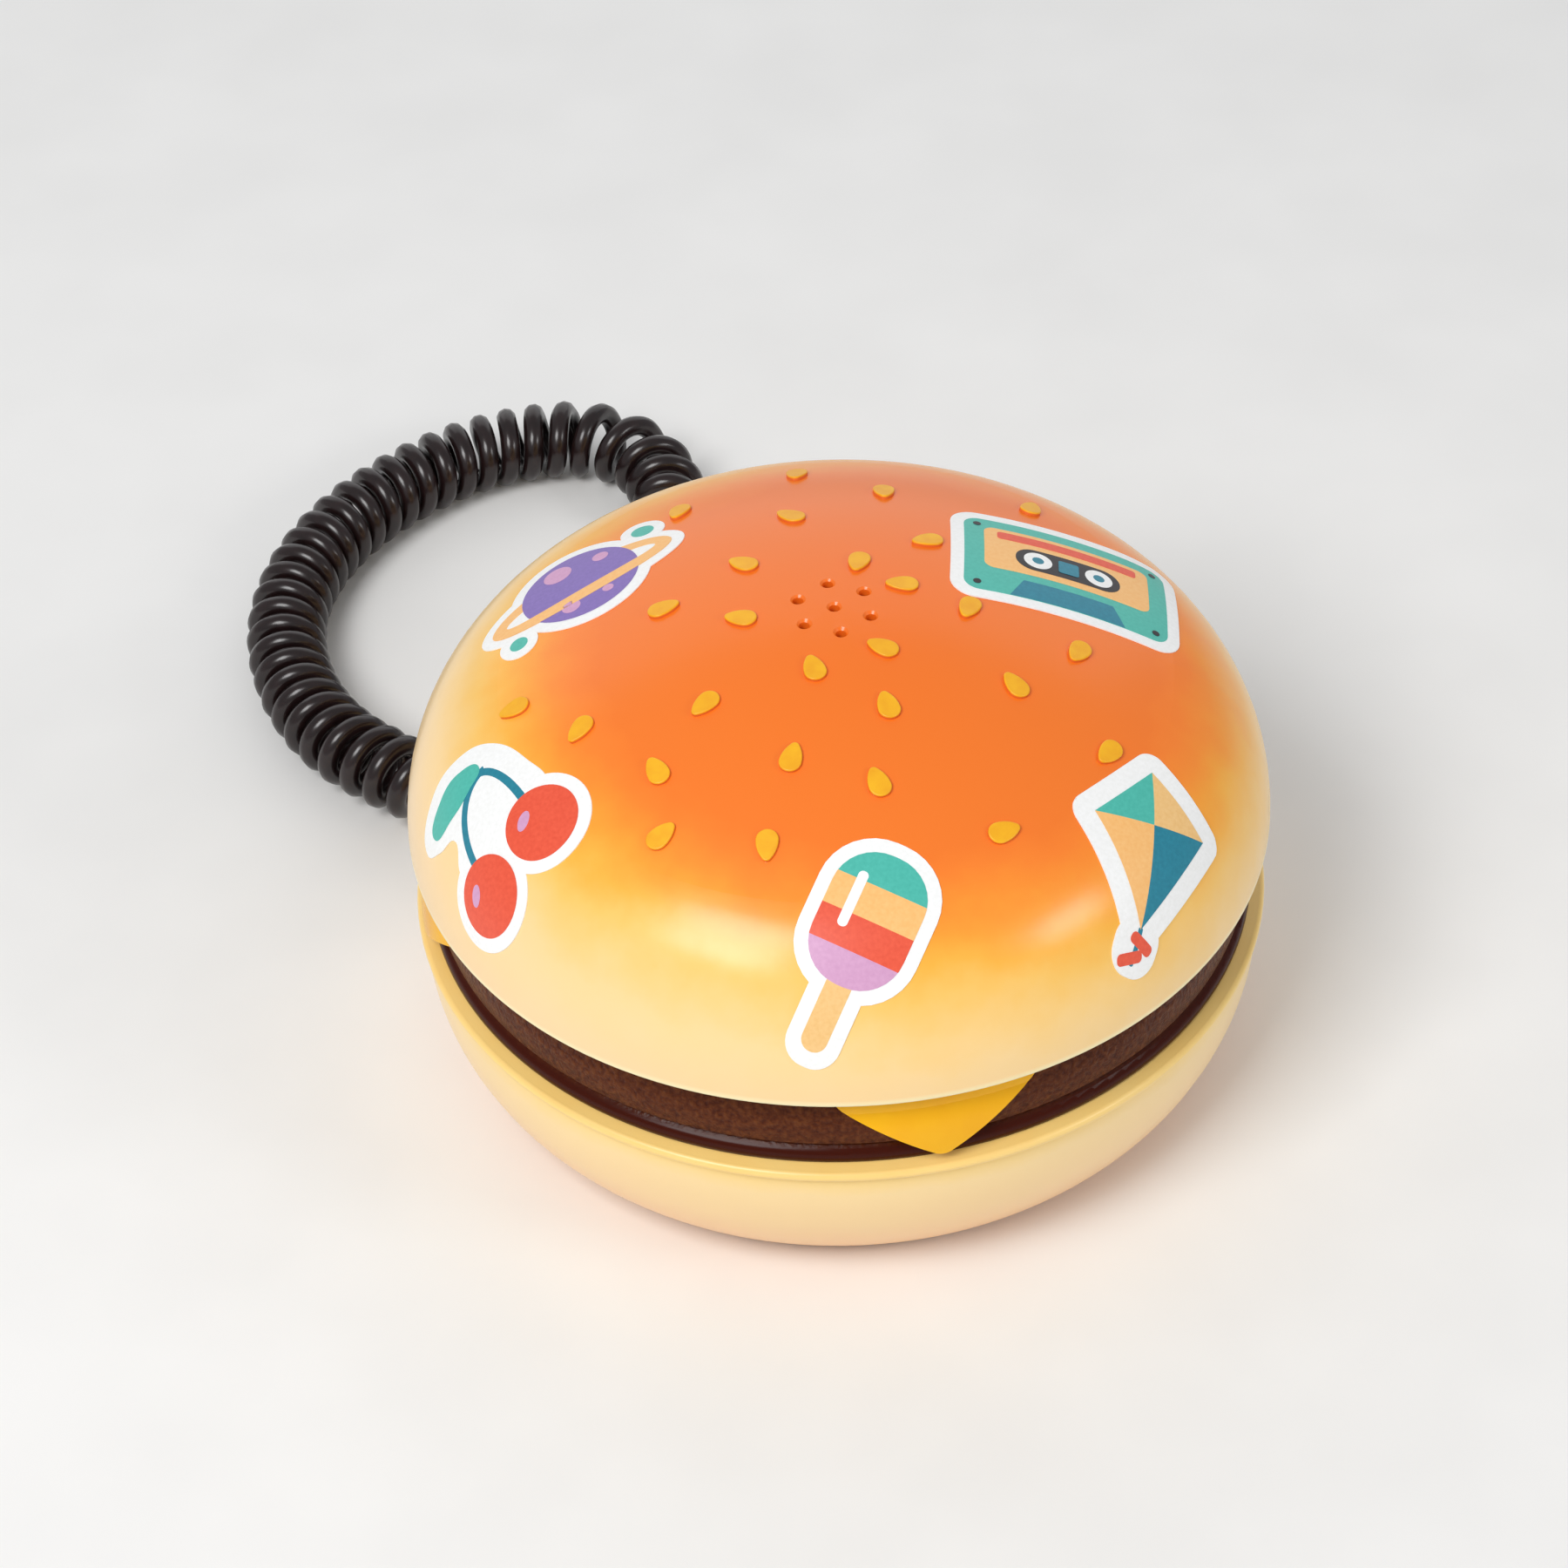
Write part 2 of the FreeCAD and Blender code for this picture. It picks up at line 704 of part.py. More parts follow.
key_rows = [top_row - row_pitch * i for i in range(5)]
key_columns = [-column_pitch, 0.0, column_pitch]
digit_names = [("key_1", "key_2", "key_3"), ("key_4", "key_5", "key_6"),
               ("key_7", "key_8", "key_9"), ("key_star", "key_0", "key_hash")]
key_places = {name: (x, y, key_width)
              for y, names in zip(key_rows, digit_names)
              for x, name in zip(key_columns, names)}
key_places["key_redial"] = (-long_pitch / 2, key_rows[4], long_key)
key_places["key_flash"] = (long_pitch / 2, key_rows[4], long_key)
pad_half = column_pitch + key_width / 2
pad_back = key_rows[0] + key_depth / 2
pad_low = key_rows[4] - key_depth / 2
mat_margin = key_flange + 0.5
mic_y = mat_margin + mic_radius + boot_wall + 0.5 - pad_low
pcb_half = pad_half + pcb_margin
pcb_front = mic_y + mic_radius + boot_wall + 1.2
pcb_back = plunger_y + hook_depth / 2 + 0.5
pcb_spots = [(s * (pcb_half - pcb_post), y) for s in (-1, 1)
             for y in (pad_back + key_flange + 2 * pcb_post, -mic_y)]


def key_cap(x, y, width):
    top = deck_top + key_proud
    body = rounded_block(x, y, width, key_depth, flange_low, top, key_round)
    rim_edges = [e for e in body.Edges if abs(e.BoundBox.ZMin - top) < 1e-6]
    body = body.makeFillet(0.7, rim_edges)
    flange = rounded_block(x, y, width + 2 * key_flange, key_depth + 2 * key_flange,
                           flange_low, flange_top, key_round + key_flange)
    return body.fuse(flange)


def hinge_pocket(low, high, margin):
    """Room for the lid hinge's arm at the back of the deck, grown by a margin."""
    half = lid_knuckle / 2 + margin
    return block(-half, half, tab_front - margin, bun_radius, low, high)


def patty_deck():
    body = turned(patty_profile())
    inside = rod(spigot_in, post_low, deck_top)
    post = rod(post_radius, post_low, deck_low, boss_ring).common(inside)
    stands = [rod(pcb_post, pcb_top, deck_low, x, y) for x, y in pcb_spots]
    floor = hinge_pocket(deck_low - arm_gap, deck_top, base_wall).common(inside)
    body = join([body, floor] + around(post, base_corners) + stands)
    pocket = hinge_pocket(rim - arm_thick - arm_gap, rim, arm_gap)
    wells = [rounded_block(x, y, w + 2 * slide_gap, key_depth + 2 * slide_gap, deck_low - 1,
                           deck_top + 1, key_round + slide_gap)
             for x, y, w in key_places.values()]
    pilot = rod(screw_shank + thread_gap, post_low - 1, post_low + screw_bite + 1, boss_ring)
    small = [rod(small_shank + thread_gap, pcb_top - 1, pcb_top + small_bite + 0.5, x, y)
             for x, y in pcb_spots]
    sound = [rod(mic_hole, deck_low - 1, deck_top + 1, x * mic_hole, -mic_y) for x in (-3, 0, 3)]
    stem = rod(plunger_radius + slide_gap, deck_low - 1, deck_top + 1, 0, plunger_y)
    return body.cut(wells + around(pilot, base_corners) + small + sound + [stem, pocket])


def flap():
    """One corner of the slice, hanging over the patty's side, made towards +X."""
    t = cheese_thick
    inner = patty_out + flap_gap
    bend = patty_round + flap_gap
    turn_z = deck_top - bend
    top_z = deck_top + t
    root = patty_top - cheese_inset
    skin = turned(outline(
        flat(root, deck_top), flat(patty_top, deck_top),
        (on_circle(patty_top, turn_z, bend, 45), flat(patty_top + bend, turn_z)),
        (flat(belly_x + 1.3 * flap_gap, belly_z), flat(inner, bead_z)),
        flat(inner, ledge_top), flat(inner + t, ledge_top), flat(inner + t, bead_z),
        (flat(belly_x + 1.3 * flap_gap + t, belly_z), flat(patty_top + bend + t, turn_z)),
        (on_circle(patty_top, turn_z, bend + t, 45), flat(patty_top, top_z)),
        flat(root, top_z)))
    tip_z = ledge_top + flap_lift
    side = Vector(0, flap_half, deck_top - 0.5)
    knee = Vector(0, flap_knee, tip_z + flap_rise)
    heel = Vector(0, flap_tip, tip_z + 0.28 * flap_tip)
    bow = (side + knee) * 0.5 + Vector(0, side.z - knee.z, knee.y - side.y) * 0.088
    blade = outline(
        Vector(0, flap_half + 1.5, top_z + 1), side, (bow, knee), heel,
        (Vector(0, 0, tip_z), Vector(0, -heel.y, heel.z)), Vector(0, -knee.y, knee.z),
        (Vector(0, -bow.y, bow.z), Vector(0, -side.y, side.z)),
        Vector(0, -flap_half - 1.5, top_z + 1))
    blade = placed(blade.extrude(Vector(bun_radius, 0, 0)), Vector(root, 0, 0))
    return skin.common(blade)


def cheese_slice():
    z1 = deck_top + cheese_thick
    h = cheese_half
    corner = cheese_turn - 90.0
    square = turn(block(-h, h, -h, h, deck_top, z1), corner + 45)
    plate = square.common(rod(patty_top, deck_top, z1))
    flaps = around(flap(), [corner, corner + 90, corner - 90])
    body = join([plate] + flaps)
    front = -mic_y - mic_radius - boot_wall
    back = pad_back + cheese_margin
    window = rounded_block(0, (front + back) / 2, 2 * (pad_half + cheese_margin), back - front,
                           deck_top - 1, z1 + 1, cheese_margin)
    stem = rod(plunger_radius + 1.0, deck_top - 1, z1 + 1, 0, plunger_y)
    rear = block(-bun_radius, bun_radius, cheese_back, bun_radius, ledge_top, z1 + 1)
    return body.cut([window, stem, rear]).removeSplitter()


def key_mat():
    sheet = block(-pad_half - mat_margin, pad_half + mat_margin, pad_low - mat_margin,
                  pad_back + mat_margin, pcb_top, mat_top)
    domes = [Part.makeCone(mat_dome, mat_dome * 0.7, mat_dome_rise, Vector(x, y, mat_top))
             for x, y, _ in key_places.values()]
    return join([sheet] + domes)


def main_pcb():
    board = block(-pcb_half, pcb_half, -pcb_front, pcb_back, pcb_low, pcb_top)
    holes = [rod(small_shank + seat_gap, pcb_low - 1, pcb_top + 1, x, y) for x, y in pcb_spots]
    stuck = [block(x0, x1, y0, y1, pcb_low - tall, pcb_low) for x0, y0, x1, y1, tall in chips]
    return join([board.cut(holes)] + stuck)


def pcb_screws():
    one = screw(small_head, small_head_tall, small_shank, pcb_thick + small_bite)
    return group([placed(one, Vector(x, y, pcb_low)) for x, y in pcb_spots])


def microphone():
    return rod(mic_radius, pcb_top, pcb_top + mic_height, 0, -mic_y)


def mic_boot():
    outer = rod(mic_radius + boot_wall, pcb_top, deck_low, 0, -mic_y)
    hollow = rod(mic_radius + thread_gap, pcb_top, pcb_top + mic_height + seat_gap, 0, -mic_y)
    return outer.cut([hollow, rod(mic_radius - boot_wall, pcb_top, deck_low, 0, -mic_y)])


def hook_switch():
    top = deck_low - 2 * slide_gap
    body = block(-hook_width / 2, hook_width / 2, plunger_y - hook_depth / 2,
                 plunger_y + hook_depth / 2, pcb_top, top)
    return body.cut(rod(plunger_flange + slide_gap, pcb_top, top, 0, plunger_y))


def hook_plunger():
    low = pcb_top + slide_gap
    stem = rod(plunger_radius, low, cover_low - slide_gap, 0, plunger_y)
    tip = [e for e in stem.Edges if abs(e.BoundBox.ZMin - cover_low + slide_gap) < 1e-6]
    stem = stem.makeFillet(0.6, tip)
    return stem.fuse(rod(plunger_flange, low, low + plunger_flange_thick, 0, plunger_y))


def switch_body(bearing):
    r = switch_front
    body = block(r - switch_deep, r, -switch_width / 2, switch_width / 2, switch_low,
                 switch_low + switch_tall)
    half = knob_width / 2 + slot_travel + slide_gap
    tall = knob_height / 2 + slide_gap
    slot = block(r - switch_deep * 0.6, r + 1, -half, half, switch_height - tall,
                 switch_height + tall)
    return turn(body.cut(slot), bearing)


def switch_knob(bearing):
    r = switch_front - switch_deep * 0.6 + slide_gap
    out = flank_at(switch_height) + knob_proud
    knob = block(r, out, -knob_width / 2, knob_width / 2, switch_height - knob_height / 2,
                 switch_height + knob_height / 2)
    tip = [e for e in knob.Edges if abs(e.BoundBox.XMin - out) < 1e-6]
    return turn(knob.makeFillet(0.4, tip), bearing)


def ballast_plate():
    return rounded_block(0, 0, 2 * ballast_half, 2 * ballast_half, floor_top,
                         floor_top + ballast_thick, 4.0)


# The line cord: a gland in the wall, a short lead, the curls and a plain tail with a plug
cord_out = polar(1, cord_bearing)
gland_end = flank_at(exit_height) + gland_tail
lead_end = gland_end + lead_free
lead_start = flank_at(exit_height) - 2 * base_wall - gland_flange
curl_radius = (curl_out - cord_wire) / 2
lie = curl_out / 2 + 0.1
plug_entry = Vector(11.2, 81.6, plug_tall / 2 + 0.1)
curl_route = [
    polar(lead_end, cord_bearing, exit_height),
    polar(lead_end + curl_first, cord_bearing, exit_height),
    Vector(-85.5, 59.9, lie + 0.4), Vector(-90.9, 72.2, lie), Vector(-93.1, 85.3, lie),
    Vector(-91.2, 98.6, lie), Vector(-85.6, 111.1, lie), Vector(-76.9, 121.8, lie),
    Vector(-66.0, 130.4, lie), Vector(-54.6, 135.0, lie), Vector(-42.2, 136.2, lie),
    Vector(-32.2, 129.8, lie), Vector(-27.9, 118.8, lie), Vector(-26.5, 106.5, lie)]
curl_end = curl_route[-1]
tail_way = (curl_end - curl_route[-2]).normalize()
tail_route = [
    curl_end, curl_end + tail_way * tail_first, Vector(-19.8, 86.6, 3.6),
    Vector(-10.3, 81.2, 2.2), Vector(0.7, 80.4, plug_entry.z), plug_entry]


def bends(points, name):
    """Straight runs joined by tangent arcs, and the least radius."""
    edges = []
    here = points[0]
    radii = []
    for before, at, after in zip(points, points[1:], points[2:]):
        a = (before - at).normalize()
        b = (after - at).normalize()
        half = (math.pi - a.getAngle(b)) / 2
        reach = bend_share * min(before.distanceToPoint(at), after.distanceToPoint(at))
        radius = reach / math.tan(half)
        start = at + a * reach
        end = at + b * reach
        centre = at + (a + b).normalize() * (radius / math.cos(half))
        middle = centre + (at - centre).normalize() * radius
        edges.append(Part.makeLine(here, start))
        edges.append(Part.Arc(start, middle, end).toShape())
        radii.append(radius)
        here = end
    edges.append(Part.makeLine(here, points[-1]))
    print(name, "bend radii", [round(r, 1) for r in radii])
    return edges


def swept(edges, radius):
    path = Part.Wire(edges)
    start = edges[0].valueAt(edges[0].FirstParameter)
    along = edges[0].tangentAt(edges[0].FirstParameter)
    ring = Part.Wire([Part.makeCircle(radius, start, along)])
    shell = Part.BRepOffsetAPI.MakePipeShell(path)
    shell.add(ring)
    shell.build()
    shell.makeSolid()
    return shell.shape()


def compare(name, shape, edges):
    length = sum(e.Length for e in edges)
    section = math.pi * (cord_wire / 2) ** 2
    print(name, "length", round(length, 1), "volume over section x length",
          round(shape.Volume / (section * length), 4))


def cord_lead():
    low = polar(lead_start, cord_bearing, exit_height)
    return pointed(rod(cord_wire / 2, 0, lead_end - lead_start), cord_out, low)


def axis_at(edges, s):
    for edge in edges:
        if s <= edge.Length or edge is edges[-1]:
            u = edge.getParameterByLength(max(0.0, min(s, edge.Length)))
            return edge.valueAt(u), edge.tangentAt(u)
        s -= edge.Length


def wound(u, total):
    """Distance wound at the full pitch; the winding starts and ends slack."""
    if u > total / 2:
        return 2 * wound(total / 2, total) - wound(total - u, total)
    t = min(1.0, u / curl_ramp)
    return curl_ramp * t ** 3 / 3 + max(0.0, u - curl_ramp)


def slack(s, total):
    """Distance given up by the winding, which opens where the curls bend sharply."""
    t = max(-1.0, min(1.0, (s - total + bend_back) / bend_reach))
    return curl_open * bend_reach * (t + 1 + math.sin(math.pi * t) / math.pi) / 2


def curl_point(axis, total, s):
    """A point of the curls at a distance along their axis, drawn in towards both ends."""
    p, t = axis_at(axis, s)
    side = t.cross(UP).normalize()
    above = side.cross(t)
    share = max(0.0, min(1.0, (s - cord_wire) / curl_ramp, (total - cord_wire - s) / curl_ramp))
    r = curl_radius * (1 - math.cos(math.pi * share)) / 2
    run = wound(s - cord_wire, total - 2 * cord_wire) - slack(s, total)
    a = 2 * math.pi * run / curl_pitch
    return p + side * (r * math.cos(a)) + above * (r * math.sin(a))


def arc_from(a, b, tangent_a):
    chord = b - a
    c = chord * (1 / chord.Length)
    normal = tangent_a - c * tangent_a.dot(c)
    if normal.Length < 1e-6:
        return Part.makeLine(a, b)
    angle = math.acos(max(-1.0, min(1.0, tangent_a.dot(c))))
    middle = (a + b) * 0.5 + normal.normalize() * (chord.Length / 2 * math.tan(angle / 2))
    return Part.Arc(a, middle, b).toShape()


def biarc(p1, t1, p2, t2):
    v = p2 - p1
    t = t1 + t2
    bend = 2 * (1 - t1.dot(t2))
    if bend < 1e-9:
        d = v.dot(v) / (4 * v.dot(t2))
    else:
        d = (-v.dot(t) + math.sqrt(v.dot(t) ** 2 + bend * v.dot(v))) / bend
    q1 = p1 + t1 * d
    q2 = p2 - t2 * d
    middle = (q1 + q2) * 0.5
    return [arc_from(p1, middle, t1), arc_from(middle, p2, (q2 - q1).normalize())]


def curl_edges():
    axis = bends(curl_route, "curl axis")
    total = sum(e.Length for e in axis)
    turns = round((total - 2 * cord_wire) / curl_pitch)
    step = (total - 2 * cord_wire) / (4 * turns)
    places = [cord_wire + step * i for i in range(4 * turns + 1)]
    points = [curl_point(axis, total, s) for s in places]
    ways = [(curl_point(axis, total, s + 0.01) - curl_point(axis, total, s - 0.01)).normalize()
            for s in places]
    ways[0] = axis_at(axis, 0)[1]
    ways[-1] = axis_at(axis, total)[1]
    edges = [Part.makeLine(axis_at(axis, 0)[0], points[0])]
    for i in range(4 * turns):
        edges += biarc(points[i], ways[i], points[i + 1], ways[i + 1])
    edges.append(Part.makeLine(points[-1], axis_at(axis, total)[0]))
    print("curl turns", turns)
    return edges


def least_gap(edges):
    """Least distance between stretches of the curls more than half a turn apart, less the wire."""
    points = []
    where = []
    run = 0.0
    for edge in edges:
        for i in range(4):
            points.append(edge.valueAt(edge.getParameterByLength(edge.Length * i / 4)))
            where.append(run + edge.Length * i / 4)
        run += edge.Length
    apart = math.pi * curl_radius
    least = 1e9
    for i in range(len(points)):
        for j in range(i + 1, min(len(points), i + 120)):
            if where[j] - where[i] > apart:
                least = min(least, points[i].distanceToPoint(points[j]))
    return least - cord_wire


def cord_curls():
    edges = curl_edges()
    arcs = [e.Curve.Radius for e in edges if hasattr(e.Curve, "Radius")]
    print("curl arcs", len(arcs), "least radius", round(min(arcs), 2),
          "least gap", round(least_gap(edges), 2))
    shape = swept(edges, cord_wire / 2)
    compare("curls", shape, edges)
    return shape


def cord_tail():
    edges = bends(tail_route, "tail")
    shape = swept(edges, cord_wire / 2)
    compare("tail", shape, edges)
    return shape


def cord_gland():
    centre = flank_at(exit_height)
    at = polar(0, cord_bearing, exit_height)
    body = pointed(rod(gland_flange, 0, centre + 1.8), cord_out, at)
    outer = body.cut(flank(-thread_gap, base_low - 0.5))
    inner_start = centre - 2 * base_wall - 1.2
    inner = pointed(rod(gland_flange, inner_start, centre), cord_out, at)
    inner = inner.common(flank(base_wall + thread_gap, floor_top + thread_gap))
    neck = pointed(rod(gland_neck - thread_gap, inner_start, centre + 1.8), cord_out, at)
    cone = Part.makeCone(gland_flange * 0.8, cord_wire / 2 + 0.8, gland_tail - 1.8,
                         Vector(0, 0, centre + 1.8))
    bore = rod(cord_wire / 2 + gland_bore_gap, 0, centre + 2 * gland_tail)
    body = join([neck, outer, inner, pointed(cone, cord_out, at)])
    return body.cut(pointed(bore, cord_out, at))


def line_wires():
    start = polar(lead_start, cord_bearing, exit_height)
    inward = polar(lead_start - 14, cord_bearing, exit_height)
    up = Vector(inward.x + 12, inward.y - 10, (exit_height + pcb_low) / 2)
    points = [start, inward, up, Vector(up.x, up.y, pcb_low)]
    return swept(bends(points, "line wires"), wire_radius)


def speaker_wires():
    high = Vector(magnet_radius / 2, 0, ringer_low - magnet_tall)
    low = Vector(magnet_radius / 4, ear_y, cover_top + gasket_thick + ear_height)
    drop = (high.z - low.z) / 3
    points = [high, high - UP * drop, low + UP * drop, low]
    return swept(bends(points, "speaker wires"), wire_radius)


def plug_frame(shape):
    """Carry a shape made along +X from the cord's entry to where the tail ends."""
    way = tail_route[-1] - tail_route[-2]
    out = turn(shape, math.degrees(math.atan2(way.y, way.x)))
    return placed(out, plug_entry)


def contact_blades(grow):
    half = contact_thick / 2 + grow
    middles = [contact_pitch * (i - (contact_count - 1) / 2) for i in range(contact_count)]
    return [block(plug_long - 1.0 - contact_long, plug_long - 1.0, y - half, y + half,
                  -plug_tall / 2 + 0.4, -0.5) for y in middles]


def modular_plug():
    half = plug_wide / 2
    low = -plug_tall / 2
    body = block(0, plug_long, -half, half, low, plug_tall / 2)
    step = block(-1, plug_long * 0.4, -half - 1, half + 1, plug_tall / 2 - 1.2, plug_tall)
    latch = outline(
        Vector(plug_long - 1.5, 0, plug_tall / 2), Vector(plug_long - 0.4, 0, plug_tall / 2),
        Vector(0.5, 0, plug_tall / 2 + 2.6), Vector(0, 0, plug_tall / 2 + 1.8))
    latch = placed(latch.extrude(Vector(0, latch_wide, 0)), Vector(0, -latch_wide / 2, 0))
    slits = [block(b.BoundBox.XMin, plug_long + 1, b.BoundBox.YMin, b.BoundBox.YMax, low - 1, -0.5)
             for b in contact_blades(thread_gap)]
    return plug_frame(body.cut([step] + slits).fuse(latch))


def plug_contacts():
    return group([plug_frame(b) for b in contact_blades(0)])


parts = {
    "top_bun": top_bun, "sesame_seeds": sesame_seeds, "lid_cover": lid_cover,
    "lid_screws": lid_screws, "earpiece": earpiece, "earpiece_gasket": earpiece_gasket,
    "ringer_speaker": ringer_speaker, "ringer_retainer": ringer_retainer,
    "retainer_screws": retainer_screws, "lid_hinge_leaf": lid_hinge_leaf,
    "hinge_leaf_screws": hinge_leaf_screws, "lower_bun": lower_bun, "base_pad": base_pad,
    "base_screws": base_screws, "base_hinge_bracket": base_hinge_bracket,
    "bracket_screws": bracket_screws, "hinge_pin": hinge_pin, "patty_deck": patty_deck,
    "cheese_slice": cheese_slice, "key_mat": key_mat, "main_pcb": main_pcb,
    "pcb_screws": pcb_screws, "microphone": microphone, "mic_boot": mic_boot,
    "hook_switch": hook_switch, "hook_plunger": hook_plunger, "ballast_plate": ballast_plate,
    "cord_gland": cord_gland, "cord_lead": cord_lead, "cord_curls": cord_curls,
    "cord_tail": cord_tail, "modular_plug": modular_plug, "plug_contacts": plug_contacts,
    "line_wires": line_wires, "speaker_wires": speaker_wires}

os.makedirs("parts", exist_ok=True)
shapes = {name: make() for name, make in parts.items()}
for label, bearing in zip(("ringer", "tone"), switch_bearings):
    shapes[label + "_switch"] = switch_body(bearing)
    shapes[label + "_knob"] = switch_knob(bearing)
for name, place in key_places.items():
    shapes[name] = key_cap(*place)
for name, shape in shapes.items():
    shape.exportStep("parts/" + name + ".step")
    print(name, shape.isValid(), len(shape.Solids), round(shape.Volume, 1))
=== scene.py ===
# %% [markdown]
# # A burger-shaped telephone
# The shells, keys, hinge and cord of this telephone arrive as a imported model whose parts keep
# their places.  This lesson dresses them: it puts the camera where the photograph was taken, lays
# the curly cord, gives every moulded part its finish, and adds the thin things that a solid model
# leaves out, such as stickers and printed numerals.

# %% Load the telephone
import math

import bpy
from mathutils import Matrix, Vector


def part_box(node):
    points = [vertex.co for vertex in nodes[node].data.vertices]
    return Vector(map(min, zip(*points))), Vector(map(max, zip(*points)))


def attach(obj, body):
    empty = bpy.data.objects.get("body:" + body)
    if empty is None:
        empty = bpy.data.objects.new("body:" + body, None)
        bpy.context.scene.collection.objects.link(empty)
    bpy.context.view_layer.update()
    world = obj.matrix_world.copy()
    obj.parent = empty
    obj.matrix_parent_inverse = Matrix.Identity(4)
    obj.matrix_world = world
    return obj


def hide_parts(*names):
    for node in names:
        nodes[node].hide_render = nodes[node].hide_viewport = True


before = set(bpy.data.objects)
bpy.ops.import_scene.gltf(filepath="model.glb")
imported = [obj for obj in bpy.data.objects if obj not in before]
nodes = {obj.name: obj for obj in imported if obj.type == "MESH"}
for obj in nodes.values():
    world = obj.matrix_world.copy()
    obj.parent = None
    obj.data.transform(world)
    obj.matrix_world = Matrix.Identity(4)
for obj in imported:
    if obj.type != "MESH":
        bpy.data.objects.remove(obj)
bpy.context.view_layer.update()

mm = 0.001
bpy.ops.object.select_all(action="DESELECT")
print("parts loaded:", len(nodes))

# %% [markdown]
# ## Camera
# The photograph looks down on the burger from the front, at about 42 degrees, through a long lens,
# and it leans by a little more than a degree.  A camera could be turned by eye until the outline
# fits; here its distance, height and lean were solved from the rim, the crown and the foot of the
# burger, and the shift places the burger as far off the middle as the photograph does.

# %% Camera where the photograph was taken
look_at = Vector((0, 0, 42 * mm))
camera_distance = 730 * mm
camera_height = math.radians(42.09)
camera_lean = math.radians(-1.32)
away = Vector((0, -math.cos(camera_height), math.sin(camera_height)))
bpy.ops.object.camera_add(location=look_at + camera_distance * away)
camera = bpy.context.object
aim = (-away).to_track_quat("-Z", "Y").to_matrix() @ Matrix.Rotation(camera_lean, 3, "Z")
camera.rotation_euler = aim.to_euler()
camera.data.sensor_width = 36
camera.data.lens = 110.9
camera.data.shift_x = -0.0349
camera.data.shift_y = 0.0102
bpy.context.scene.camera = camera
bpy.context.scene.view_settings.view_transform = "Standard"
print("camera at", [round(x, 3) for x in camera.location])

# %% [markdown]
# ## Colours and shader nodes
# A finish starts from colours picked as sRGB hex codes, which the renderer wants as linear
# light.  A finish is then a handful of shader nodes; one function adds a node with its settings
# and its links, so that each material below reads as a short recipe.

# %% Helpers for every finish
def linear(code):
    """An sRGB hex code as linear light."""
    channels = [int(code[i:i + 2], 16) / 255 for i in (1, 3, 5)]
    curve = [c / 12.92 if c <= 0.04045 else ((c + 0.055) / 1.055) ** 2.4 for c in channels]
    return (*curve, 1.0)


def add_node(owner, kind, settings=None, links=None, stops=()):
    """Add a shader node to a material or world, with its settings, links and colour stops."""
    node = owner.node_tree.nodes.new(kind)
    for name, value in (settings or {}).items():
        if isinstance(name, int) or name in node.inputs:
            node.inputs[name].default_value = value
        else:
            setattr(node, name, value)
    for name, socket in (links or {}).items():
        owner.node_tree.links.new(socket, node.inputs[name])
    for i, (position, code) in enumerate(stops):
        ramp = node.color_ramp.elements
        element = ramp[i] if i == 0 else ramp.new(position)
        element.position = position
        element.color = linear(code)
    if stops:
        node.color_ramp.elements.remove(node.color_ramp.elements[-1])
    return node


def new_finish(name, settings):
    """A material whose shader has these constant settings, and the object's own coordinates."""
    finish = bpy.data.materials.new(name)
    finish.use_nodes = True
    shader = finish.node_tree.nodes["Principled BSDF"]
    for socket, value in settings.items():
        shader.inputs[socket].default_value = value
    place = add_node(finish, "ShaderNodeTexCoord").outputs["Object"]
    return finish, shader, place


def paint(finish, *names):
    """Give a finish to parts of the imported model."""
    for name in names:
        nodes[name].material_slots[0].material = finish
    print(finish.name, "on", ", ".join(names))


print("#808080 in linear light:", round(linear("#808080")[0], 3))

# %% [markdown]
# ## Light and table
# The telephone was shot in a bright room: a soft lamp high at the front left, a window low on the
# right, and a pale wall behind that the top of the bun mirrors.  Three area lamps and an even sky
# give the same reflections, at a level where colours come out about as they are written.

# %% Lamps, sky and table
def softbox(name, bearing, height, distance, width, tall, power):
    """An area lamp, in metres and watts, turned towards the burger."""
    b = math.radians(bearing)
    h = math.radians(height)
    way = Vector((math.cos(b) * math.cos(h), math.sin(b) * math.cos(h), math.sin(h)))
    bpy.ops.object.light_add(type="AREA", location=look_at + way * distance)
    lamp = bpy.context.object
    lamp.name = name
    lamp.rotation_euler = way.to_track_quat("Z", "Y").to_euler()
    lamp.data.shape = "RECTANGLE"
    lamp.data.size = width
    lamp.data.size_y = tall
    lamp.data.energy = power


softbox("front_softbox", bearing=-126, height=50, distance=1.1, width=0.5, tall=0.5, power=7.4)
softbox("side_window", bearing=-27, height=30, distance=1.2, width=0.36, tall=0.24, power=2.0)
softbox("pale_wall", bearing=92, height=24, distance=1.5, width=2.2, tall=1.2, power=5.0)

sky = bpy.data.worlds.new("even_sky")
sky.use_nodes = True
bpy.context.scene.world = sky
sky_light = sky.node_tree.nodes["Background"]
sky_light.inputs["Color"].default_value = linear("#eff1f4")
sky_light.inputs["Strength"].default_value = 0.46

bpy.ops.mesh.primitive_plane_add(size=6)
table = bpy.context.object
table.name = "table"
table_top, shader, place = new_finish("matt_paper_sweep", {"Roughness": 0.8})
grain = add_node(table_top, "ShaderNodeTexNoise", {"Scale": 1 / (30 * mm)}, {"Vector": place})
tone = add_node(table_top, "ShaderNodeValToRGB", links={"Fac": grain.outputs["Fac"]},
                stops=[(0.3, "#f1f0ee"), (0.7, "#f5f4f2")])
table_top.node_tree.links.new(tone.outputs["Color"], shader.inputs["Base Color"])
table.data.materials.append(table_top)

